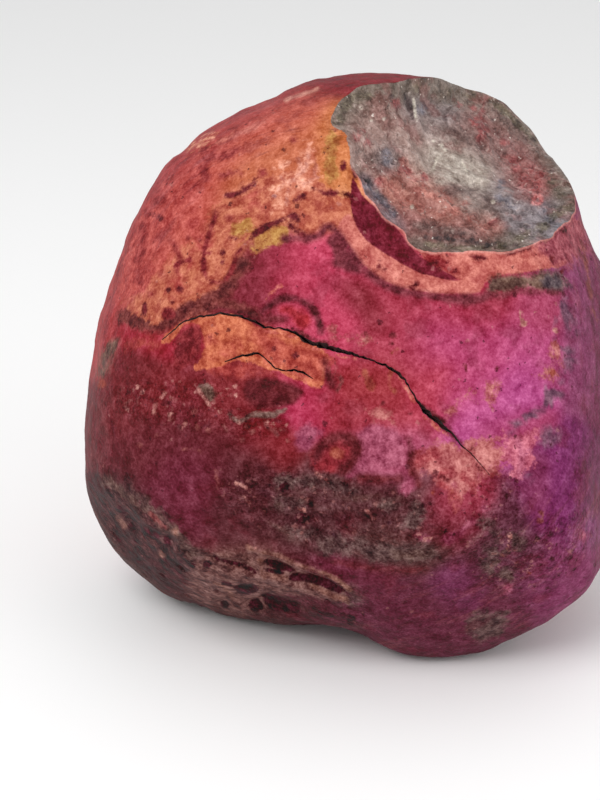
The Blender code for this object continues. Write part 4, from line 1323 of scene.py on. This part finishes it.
def tone_group():
    """Makes a colour lighter or darker by the same step in each channel, as the eye sees it."""
    tree, given, out = group("tone_step", {"Colour": "Color", "Step": "Float"}, {"Colour": "Color"})
    seen = node(tree, "ShaderNodeGamma", given["Colour"], 1 / 2.2).outputs[0]
    kept = vector(tree, "MAXIMUM", vector(tree, "ADD", seen, given["Step"]), (DARKEST,) * 3)
    tree.links.new(node(tree, "ShaderNodeGamma", kept, 2.2).outputs[0], out["Colour"])
    return tree


def patch_group():
    """Lays one patch over what is under it, inside a ragged edge: a colour of the stone, painted shade or a
    painted highlight.
    """
    numbers = ("Distance", "Ragged", "Soft", "Edge", "Tone", "Strength")
    tree, given, out = group(
        "dye_and_shade_patch", {"Under": "Color", "Light": "Color", "Dark": "Color", **dict.fromkeys(numbers, "Float")},
        {"Colour": "Color", "Mask": "Float"},
    )
    sway = swing(tree, given["Edge"], 0.5, given["Ragged"])
    edge = calc(tree, "MULTIPLY_ADD", sway, RAGGEDNESS, given["Distance"])
    mask = ramp(tree, edge, given["Soft"], calc(tree, "MULTIPLY", given["Soft"], -1.0))
    mask = calc(tree, "MULTIPLY", mask, given["Strength"])
    dye_and_shade = blend(tree, ramp(tree, given["Tone"], 0.32, 0.68), given["Dark"], given["Light"])
    tree.links.new(blend(tree, mask, given["Under"], dye_and_shade), out["Colour"])
    tree.links.new(mask, out["Mask"])
    return tree


def specks_group():
    """Scattered round specks, such as pores or flecks: 1 on a speck and 0 off it."""
    numbers = dict.fromkeys(("Spacing", "Width", "Share"), "Float")
    tree, given, out = group("specks", {"Place": "Vector", **numbers}, {"Mask": "Float"})
    made = cells(tree, bent(tree, given["Place"], *SPECK_BEND), given["Spacing"])
    parts = node(tree, "ShaderNodeSeparateColor", made["Color"]).outputs
    chosen = calc(tree, "LESS_THAN", parts[0], given["Share"])
    size = calc(tree, "ADD", parts[1], LEAST_SPECK)
    radius = calc(tree, "MULTIPLY", calc(tree, "DIVIDE", given["Width"], given["Spacing"]), size)
    near = ramp(tree, made["Distance"], radius, calc(tree, "MULTIPLY", radius, 0.5))
    tree.links.new(calc(tree, "MULTIPLY", near, chosen), out["Mask"])
    return tree


# ---- the finishes --------------------------------------------------------------------------------
def attribute(tree, name, output="Fac"):
    return node(tree, "ShaderNodeAttribute", attribute_name=name).outputs[output]


def new_material(name):
    made = bpy.data.materials.new(name)
    made.use_nodes = True
    return made, made.node_tree, made.node_tree.nodes["Principled BSDF"]


def stone_material(name, groups):
    """A new finish with its nodes and shader, the stone's places in mm and the noises of its grain."""
    made, tree, shader = new_material(name)
    place = in_mm(tree, node(tree, "ShaderNodeTexCoord").outputs["Object"])
    return made, tree, shader, place, place_group(tree, groups["grain"], place=place)


def finish_with(tree, shader, colour, roughness, height, strength, shine):
    """Ends a finish. height is in mm."""
    bump = node(tree, "ShaderNodeBump")
    bump.inputs["Strength"].default_value = strength
    bump.inputs["Distance"].default_value = MM
    tree.links.new(height, bump.inputs["Height"])
    tree.links.new(bump.outputs[0], shader.inputs["Normal"])
    tree.links.new(colour, shader.inputs["Base Color"])
    tree.links.new(roughness, shader.inputs["Roughness"])
    shader.inputs["Specular IOR Level"].default_value = shine


def patched(tree, groups, grain, patches, colour, strength=1.0):
    """Lays patches over a colour, one after another."""
    for name, ((light, dark), ragged, soft, frayed_by, _) in patches.items():
        colour = place_group(
            tree, groups["patch"], under=colour, light=rgba(light), dark=rgba(dark), ragged=ragged, soft=soft,
            distance=attribute(tree, name), edge=grain[frayed_by], tone=grain["Tone"], strength=strength,
        )["Colour"]
    return colour


def dyed_rind(groups):
    made, tree, shader, place, grain = stone_material("dyed_rind", groups)
    edge, tone, broad, fine, bits = (grain[k] for k in ("Edge", "Tone", "Broad", "Fine", "Bits"))
    weathered, flecked = attribute(tree, "weathered"), attribute(tree, "flecked")

    def marked(share, under, srgb):
        return blend(tree, share, under, rgba(srgb))

    def times(a, b):
        return calc(tree, "MULTIPLY", a, b)

    def more_where_flecked(more, least):
        return calc(tree, "MULTIPLY_ADD", flecked, more, least)

    def specks(spacing, width, share):
        placed = place_group(tree, groups["specks"], place=place, spacing=spacing, width=width, share=share)
        return placed["Mask"]

    # The dye and its painted shade: broad drifts, the layers of the rough stretches, paler on the raised
    # layers and with painted shade in their troughs, then the patches, some of them painted shade or
    # highlight.
    colour = attribute(tree, "dye_and_shade", "Color")
    colour = marked(ramp(tree, broad, 0.52, 0.66, 0.0, 0.35), colour, DRIFT_RED)
    layer = attribute(tree, "layer")
    colour = marked(ramp(tree, layer, 0.04, 0.3, 0.0, 0.5), colour, LAYER_RIDGE_PALE)
    colour = marked(ramp(tree, layer, -0.04, -0.3, 0.0, 0.6), colour, LAYER_TROUGH_PAINTED_SHADE)
    colour = patched(tree, groups, grain, PATCHES, colour)

    # Streaks beside the outline, pits dark with dye and painted shade, and the pale rim of the chip with a
    # painted highlight where its edge catches the light.
    streaks = cloud(tree, attribute(tree, "flow", "Vector"), *STREAKS)
    at_edge = attribute(tree, "edge_streaks")
    colour = marked(times(ramp(tree, streaks, 0.54, 0.7, 0.0, 0.3), at_edge), colour, STREAK_PINK)
    colour = marked(times(ramp(tree, streaks, 0.46, 0.3, 0.0, 0.6), at_edge), colour, STREAK_SHADE)
    pit = swing(tree, edge, 0.5, 1.5, attribute(tree, "pit"))
    colour = marked(ramp(tree, pit, 0.3, 0.6, 0.0, 0.85), colour, PIT_DYE_AND_PAINTED_SHADE)
    rim = swing(tree, edge, 0.5, 1.6, attribute(tree, "rim_distance"))
    colour = marked(times(ramp(tree, rim, 0.5, 0.1, 0.0, 0.7), attribute(tree, "pale_rim")), colour, RIM_PINK_AND_HIGHLIGHT)

    # Pores and dark specks, sunk a little by the bump and darkened, partly as painted shade in them; dark
    # bits and pale flecks, the bits painted lighter where the bump raises them and darker where it lowers
    # them, as painted light and shade.
    pores = specks(1.1, 0.27, more_where_flecked(0.32, 0.1))
    dark_specks = calc(tree, "MAXIMUM", pores, specks(2.4, 0.5, more_where_flecked(0.46, 0.14)))
    colour = marked(times(dark_specks, 0.7), colour, PORE_DARK_AND_SHADE)
    colour = marked(times(ramp(tree, bits, 0.44, 0.34, 0.0, 0.42), flecked), colour, BIT_DARK_AND_SHADE)
    pale_bits = times(ramp(tree, bits, 0.6, 0.72, 0.0, 0.38), flecked)
    flecks = specks(1.5, 0.42, more_where_flecked(0.25, 0.05))
    colour = marked(calc(tree, "MAXIMUM", pale_bits, times(flecks, 0.4)), colour, FLECK_PINK_AND_HIGHLIGHT)

    # The grain's light and dark, stronger where the rind is rough: partly its own tone, partly painted light
    # and shade, lighter where the same noise raises the bump.
    step = swing(tree, edge, 0.6, 0.3, swing(tree, tone, 0.54, 0.42, swing(tree, fine, 0.5, 0.2)))
    rougher = calc(tree, "MULTIPLY_ADD", calc(tree, "MAXIMUM", weathered, flecked), 0.3, 0.9)
    step = calc(tree, "ADD", times(step, rougher), -0.01)
    colour = place_group(tree, groups["tone"], colour=colour, step=step)["Colour"]

    height = calc(tree, "MULTIPLY_ADD", dark_specks, -0.2, times(tone, 0.5))
    height = calc(tree, "MULTIPLY_ADD", fine, 0.1, height)
    height = calc(tree, "MULTIPLY_ADD", bits, times(flecked, 1.6), height)
    finish_with(tree, shader, colour, ramp(tree, tone, 0.3, 0.7, 0.5, 0.68), height, 0.6, RIND_SHINE)
    return made


def broken_agate(groups):
    made, tree, shader, place, grain = stone_material("broken_agate", groups)
    edge, tone, broad, fine, bits = (grain[k] for k in ("Edge", "Tone", "Broad", "Fine", "Bits"))
    colour = attribute(tree, "chip_tint", "Color")
    colour = blend(tree, ramp(tree, broad, 0.5, 0.64, 0.0, 0.5), colour, rgba(AGATE_RED))
    colour = patched(tree, groups, grain, CHIP_PATCHES, colour, 0.8)
    colour = blend(tree, ramp(tree, bits, 0.6, 0.72, 0.0, 0.4), colour, rgba(AGATE_PALE))
    colour = blend(tree, ramp(tree, bits, 0.42, 0.3, 0.0, 0.45), colour, rgba(AGATE_SHADE))
    # Painted glints: small painted highlights scattered over the broken face.
    glint_highlights = place_group(tree, groups["specks"], place=place, spacing=1.5, width=0.22, share=0.42)["Mask"]
    colour = blend(tree, calc(tree, "MULTIPLY", glint_highlights, 0.7), colour, rgba(GLINT_HIGHLIGHT))
    # The grain's light and dark: partly its own tone, partly painted light and shade, lighter where the same
    # noise raises the bump.
    step = swing(tree, edge, 0.5, 0.5, swing(tree, tone, 0.53, 0.55, swing(tree, fine, 0.5, 0.24)))
    step = calc(tree, "ADD", step, -0.01)
    colour = place_group(tree, groups["tone"], colour=colour, step=step)["Colour"]
    height = calc(tree, "MULTIPLY_ADD", tone, 0.5, calc(tree, "MULTIPLY", fine, 0.16))
    finish_with(tree, shader, colour, ramp(tree, broad, 0.4, 0.6, 0.3, 0.55), height, 0.9, AGATE_SHINE)
    return made


def crack_wall(groups):
    made, tree, shader, _, grain = stone_material("crack_wall", groups)
    # The walls are painted near black: painted shade in the narrow crack.
    colour = blend(tree, ramp(tree, grain["Tone"], 0.35, 0.65), rgba(WALL_SHADE_DARK), rgba(WALL_SHADE_LIGHT))
    roughness = ramp(tree, grain["Tone"], 0.3, 0.7, 0.7, 0.9)
    finish_with(tree, shader, colour, roughness, grain["Fine"], 0.3, WALL_SHINE)
    return made


# ---- relief that follows a rule ------------------------------------------------------------------
def relief_tree(name, inputs):
    """A geometry node group that takes a mesh, these numbers and a finish, and gives a mesh."""
    tree = bpy.data.node_groups.new(name, "GeometryNodeTree")
    tree.interface.new_socket("Geometry", in_out="INPUT", socket_type="NodeSocketGeometry")
    for label in inputs:
        tree.interface.new_socket(label, in_out="INPUT", socket_type="NodeSocketFloat")
    tree.interface.new_socket("Finish", in_out="INPUT", socket_type="NodeSocketMaterial")
    tree.interface.new_socket("Geometry", in_out="OUTPUT", socket_type="NodeSocketGeometry")
    taken = tree.nodes.new("NodeGroupInput")
    place = in_mm(tree, node(tree, "GeometryNodeInputPosition").outputs[0])
    return tree, {socket.name: socket for socket in taken.outputs if socket.name}, place


def finish_relief(tree, given, direction, height):
    """Moves the mesh by height in mm along a direction, and gives it its finish."""
    offset = vector(tree, "MULTIPLY", scaled(tree, direction, height), (MM,) * 3)
    moved = node(tree, "GeometryNodeSetPosition", given["Geometry"])
    tree.links.new(offset, moved.inputs["Offset"])
    solid = node(tree, "GeometryNodeRealizeInstances", moved.outputs[0])
    done = node(tree, "GeometryNodeSetMaterial", solid.outputs[0])
    tree.links.new(given["Finish"], done.inputs["Material"])
    tree.links.new(done.outputs[0], tree.nodes.new("NodeGroupOutput").inputs[0])
    return tree


def named(tree, name, kind="FLOAT"):
    return node(tree, "GeometryNodeInputNamedAttribute", name, data_type=kind).outputs[0]


def stored(tree, geometry, name, value):
    """The geometry with a value kept on it for the finishes to read."""
    made = node(
        tree, "GeometryNodeStoreNamedAttribute", geometry, None, name, data_type="FLOAT", domain="POINT",
    )
    tree.links.new(value, made.inputs["Value"])
    return made.outputs[0]


def sized_noise(tree, place, size, seed):
    """Noise about 0, with lumps about size wide."""
    made = node(tree, "ShaderNodeTexNoise", place, noise_dimensions="4D")
    tree.links.new(seed, made.inputs["W"])
    tree.links.new(calc(tree, "DIVIDE", 1.0, size), made.inputs["Scale"])
    made.inputs["Detail"].default_value = 3.0
    return calc(tree, "MULTIPLY_ADD", made.outputs[0], 2.0, -1.0)


def worn_rind_tree():
    """Lumps, and on the weathered stretches thin layers and pits, raised along the surface's normals."""
    tree, given, place = relief_tree("worn_rind", (
        "Lump size", "Lump height", "Layer size", "Layer height",
        "Pit spacing", "Pit width", "Pit depth", "Seed",
    ))
    lump = sized_noise(tree, place, given["Lump size"], given["Seed"])
    height = calc(tree, "MULTIPLY", lump, given["Lump height"])
    worn = named(tree, "weathered")
    layer = sized_noise(tree, named(tree, "flow", "FLOAT_VECTOR"), given["Layer size"], given["Seed"])
    layer = calc(tree, "MULTIPLY", calc(tree, "MULTIPLY", layer, given["Layer height"]), worn)
    height = calc(tree, "ADD", height, layer)
    pits = cells(tree, place, given["Pit spacing"], given["Seed"])
    radius = calc(tree, "DIVIDE", given["Pit width"], given["Pit spacing"])
    pit = ramp(tree, pits["Distance"], radius, 0.0)
    pit = calc(tree, "MULTIPLY", pit, calc(tree, "MULTIPLY_ADD", worn, 0.9, 0.1))
    height = calc(tree, "SUBTRACT", height, calc(tree, "MULTIPLY", pit, given["Pit depth"]))
    height = calc(tree, "ADD", height, named(tree, "fine_form"))
    # The pits and layers are kept for the rind's finish, which paints shade in the pits and in the layers'
    # troughs.
    given["Geometry"] = stored(tree, stored(tree, given["Geometry"], "pit", pit), "layer", layer)
    return finish_relief(tree, given, node(tree, "GeometryNodeInputNormal").outputs[0], height)


def broken_face_tree():
    """Grains broken at many angles: each cell of the surface is a small facet with a tilt of its own."""
    tree, given, place = relief_tree(
        "broken_face", ("Facet size", "Facet tilt", "Grain size", "Grain tilt", "Seed"),
    )
    moved = bent(tree, place, *FACET_BEND)
    rises = []
    for size, tilt in (("Facet size", "Facet tilt"), ("Grain size", "Grain tilt")):
        facets = cells(tree, moved, given[size], given["Seed"])
        away = vector(tree, "SUBTRACT", moved, facets["Position"])
        lean = vector(tree, "SUBTRACT", facets["Color"], (0.5,) * 3)
        rise = node(tree, "ShaderNodeVectorMath", away, lean, operation="DOT_PRODUCT").outputs["Value"]
        rises.append(calc(tree, "MULTIPLY", rise, given[tilt]))
    height = calc(tree, "ADD", *rises)
    height = calc(tree, "MULTIPLY", height, named(tree, "grainy"))
    return finish_relief(tree, given, tuple(Vector(CHIP_FACING).normalized()), height)


def add_relief(piece, tree, finish, **values):
    """Puts a relief on a piece. Its inputs are set by their sockets' identifiers."""
    modifier = piece.modifiers.new(tree.name, "NODES")
    modifier.node_group = tree
    for socket in tree.interface.items_tree:
        if socket.in_out != "INPUT" or socket.name == "Geometry":
            continue
        label = socket.name.lower().replace(" ", "_")
        modifier[socket.identifier] = finish if label == "finish" else values[label]


# ---- the rind, the chip and the cracks as shapes -------------------------------------------------
def rind_ball():
    """The boulder's surface in fine square cells, closer together on the face."""
    ball = bmesh.new()
    bmesh.ops.create_cube(ball, size=2.0)
    bmesh.ops.subdivide_edges(ball, edges=ball.edges[:], cuts=RIND_CELLS - 1, use_grid_fill=True)
    mesh = bpy.data.meshes.new("rind")
    ball.to_mesh(mesh)
    ball.free()
    directions = np.tan(places_of(mesh) * math.pi / 4)
    directions /= np.linalg.norm(directions, axis=1)[:, None]
    towards, away = (1 + directions[:, 2]) * FACE_CLOSENESS**2, 1 - directions[:, 2]
    out = (towards - away) / (towards + away)
    across = np.hypot(directions[:, 0], directions[:, 1])
    shrink = np.sqrt(np.maximum(1 - out**2, 0.0)) / np.maximum(across, 1e-9)
    directions = np.column_stack((directions[:, 0] * shrink, directions[:, 1] * shrink, out))
    points = directions * stone_reach(directions)[:, None]
    mesh.vertices.foreach_set("co", points.ravel())
    mesh.update()
    plan, back = unrolled(points, vertex_values(mesh, "normal"))
    set_values(mesh, "flow", flow_of(plan), "FLOAT_VECTOR", "vector")
    set_values(mesh, "weathered", share_in(plan, back, ROUGH_ZONES))
    set_values(mesh, "fine_form", swell(plan, FINE_FORMS) * (1 - back))
    return mesh


def chip_cutter():
    """What the chip took away: a slab whose near side is the broken face, bent and rough."""
    facing = Vector(CHIP_FACING).normalized()
    downhill = Vector((1.0, 0.0, 0.0)).cross(facing).normalized()
    across = downhill.cross(facing).normalized()
    slab = bmesh.new()
    bmesh.ops.create_grid(slab, x_segments=CHIP_CELLS, y_segments=CHIP_CELLS, size=CHIP_REACH)
    x, y = np.array([vert.co[:2] for vert in slab.verts]).T
    places = CHIP_MIDDLE + x[:, None] * np.array(across) + y[:, None] * np.array(downhill)
    bend = (CHIP_DISH_ACROSS * x**2 + CHIP_DISH_DOWN * y**2 + CHIP_TWIST * x * y) / MM
    rough = lumps(places, CHIP_FACETS)
    places = places + bend[:, None] * np.array(facing)
    plan = plan_of(places)
    rough += swell(plan, CHIP_SWELLS + CHIP_FORMS) * MM
    places = places + rough[:, None] * np.array(facing)
    beyond_glass = smooth_step(*GLASSY_FADE, outside_all(plan, (GLASSY,)))
    grainy = GLASSY_ROUGHNESS + (1 - GLASSY_ROUGHNESS) * beyond_glass
    reach = np.linalg.norm(places, axis=1)
    below_rind = stone_reach(places / reach[:, None]) - reach
    grainy *= GRAIN_AT_RIM + (1 - GRAIN_AT_RIM) * smooth_step(0.0, RIM_EASE, below_rind)
    layer = slab.verts.layers.float.new("grainy")
    for vert, place, value in zip(slab.verts, places, grainy):
        vert.co = place
        vert[layer] = value
    grown = bmesh.ops.extrude_face_region(slab, geom=slab.faces[:], use_keep_orig=True)
    lifted = [part for part in grown["geom"] if isinstance(part, bmesh.types.BMVert)]
    bmesh.ops.translate(slab, verts=lifted, vec=facing * CHIP_THICKNESS)
    for vert in lifted:
        vert[layer] = 0.0
    bmesh.ops.recalc_face_normals(slab, faces=slab.faces)
    return slab


def crack_cutter(path):
    """A blade along a crack: widest above the stone, thinning to an edge below it."""
    path = np.array(path)
    middles = on_face(path[:, :2], stone_reach)
    blade = bmesh.new()
    rings = []
    for place, middle in enumerate(middles):
        run = middles[min(place + 1, len(path) - 1)] - middles[max(place - 1, 0)]
        out = middle / np.linalg.norm(middle)
        sideways = np.cross(out, run)
        sideways /= np.linalg.norm(sideways)
        depth = CRACK_DEPTH * min(1.0, path[place, 2] / FULL_DEPTH_WIDTH)
        half = path[place, 2] * MM * (CRACK_OVERLAP + depth) / depth
        top = middle + out * CRACK_OVERLAP
        corners = (top + sideways * half, top - sideways * half, middle - out * depth)
        rings.append([blade.verts.new(corner) for corner in corners])
    for ring, following in zip(rings, rings[1:]):
        for a, b in ((0, 1), (1, 2), (2, 0)):
            blade.faces.new((ring[a], ring[b], following[b], following[a]))
    blade.faces.new(rings[0])
    blade.faces.new(rings[-1][::-1])
    bmesh.ops.recalc_face_normals(blade, faces=blade.faces)
    return blade


def ragged(path, place):
    """A crack's path with its small jogs and changes of width, from its own place in the noise."""
    noise.seed_set(JOG_SEED)
    path = np.array(path)
    lengths = np.concatenate(([0.0], np.cumsum(np.hypot(*np.diff(path[:, :2], axis=0).T))))
    steps = np.linspace(0.0, lengths[-1], int(lengths[-1] / CRACK_STEP))
    fine = np.column_stack([np.interp(steps, lengths, path[:, k]) for k in range(3)])
    jog = np.array([noise.noise_vector(Vector((s * JOGS_PER_MM, place, 0.0))) for s in steps])
    fine[:, :2] += JOG_REACH * jog[:, :2] * np.minimum(1.0, fine[:, 2:] / JOG_OPEN_WIDTH)
    fine[:, 2] *= 1.0 + JOG_WIDTH_CHANGE * jog[:, 2]
    return fine


def cut(stone, cutter):
    """Takes a cutter's shape out of the stone, and leaves its finish on the cut."""
    boolean = stone.modifiers.new(cutter.name, "BOOLEAN")
    boolean.operation = "DIFFERENCE"
    boolean.solver = "EXACT"
    boolean.material_mode = "TRANSFER"
    boolean.object = cutter


def build_stone():
    """The finished stone, in the part's frame and within the part's box."""
    groups = {"grain": grain_group(), "patch": patch_group(), "specks": specks_group(), "tone": tone_group()}
    rind, agate, wall = dyed_rind(groups), broken_agate(groups), crack_wall(groups)
    rough_out = add_piece("rough_out", rind_ball(), rind)
    add_relief(rough_out, worn_rind_tree(), rind, **RIND_RELIEF)
    cutters = [
        add_piece("chip_cutter", chip_cutter(), agate),
        add_piece("main_crack_cutter", crack_cutter(ragged(MAIN_CRACK, 1.0)), wall),
        add_piece("short_crack_cutter", crack_cutter(ragged(SHORT_CRACK, 2.0)), wall),
    ]
    add_relief(cutters[0], broken_face_tree(), agate, **CHIP_RELIEF)
    for cutter in cutters:
        cut(rough_out, cutter)
    mesh = applied(rough_out, "stone")
    for piece in (rough_out, *cutters):
        bpy.data.objects.remove(piece)
    lay_dye(mesh)
    mesh.transform(to_world())
    mesh.vertices.foreach_set("co", np.clip(places_of(mesh), *CAD_BOX).ravel())
    mesh.shade_smooth()
    stone = bpy.data.objects.new("dyed_stone", mesh)
    bpy.context.scene.collection.objects.link(stone)
    return stone


# ---- the studio ----------------------------------------------------------------------------------
# The camera's sensor in mm, how much of the plan's height it takes in, and the nearest thing it sees.
SENSOR = 36.0
FRAME_HEIGHT = 160.0 * MM
NEAREST_SEEN = 0.01
FLOOR_SIZE, FLOOR_GREY, FLOOR_ROUGHNESS = 3.0, 0.94, 0.7
# Where the lamps are aimed. Then the place, width and power in watts of each one.
LIT_PLACE = Vector((0.0, 0.0, 0.05))
LAMPS = {
    "key_light": ((-0.35, -0.55, 0.75), 0.6, 4.7),
    "fill_light": ((0.7, -0.6, 0.35), 0.8, 2.1),
}
SKY_STRENGTH = 0.75


def add_camera(scene):
    up = Vector((0.0, math.sin(FACE_LEAN), math.cos(FACE_LEAN)))
    out = Vector((0.0, -math.cos(FACE_LEAN), math.sin(FACE_LEAN)))
    eye = Vector(EYE)
    camera = bpy.data.objects.new("camera", bpy.data.cameras.new("camera"))
    camera.location = FACE_CENTRE + Vector((eye.x, 0, 0)) + up * eye.y + out * eye.z
    camera.rotation_euler = (math.pi / 2 - FACE_LEAN, 0.0, 0.0)
    camera.data.sensor_fit = "VERTICAL"
    camera.data.sensor_height = SENSOR
    camera.data.lens = SENSOR / FRAME_HEIGHT * EYE[2]
    camera.data.clip_start = NEAREST_SEEN
    scene.collection.objects.link(camera)
    scene.camera = camera


def add_floor():
    finish, _, shader = new_material("pale_floor")
    shader.inputs["Base Color"].default_value = (FLOOR_GREY, FLOOR_GREY, FLOOR_GREY, 1.0)
    shader.inputs["Roughness"].default_value = FLOOR_ROUGHNESS
    sheet = bmesh.new()
    bmesh.ops.create_grid(sheet, x_segments=1, y_segments=1, size=FLOOR_SIZE)
    floor = add_piece("floor", sheet, finish)


def add_lights(scene):
    for name, (place, size, power) in LAMPS.items():
        light = bpy.data.objects.new(name, bpy.data.lights.new(name, "AREA"))
        light.data.shape = "DISK"
        light.data.size = size
        light.data.energy = power
        light.location = place
        light.rotation_euler = (LIT_PLACE - Vector(place)).to_track_quat("-Z", "Y").to_euler()
        scene.collection.objects.link(light)
    scene.world = bpy.data.worlds.new("soft_studio")
    scene.world.use_nodes = True
    sky = scene.world.node_tree.nodes["Background"]
    sky.inputs["Color"].default_value = (1.0, 1.0, 1.0, 1.0)
    sky.inputs["Strength"].default_value = SKY_STRENGTH


def studio():
    add_camera(bpy.context.scene)
    add_floor()
    add_lights(bpy.context.scene)
    bpy.context.scene.view_settings.view_transform = "Standard"


stone = build_stone()
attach(stone, "root")
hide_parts("geode")
studio()
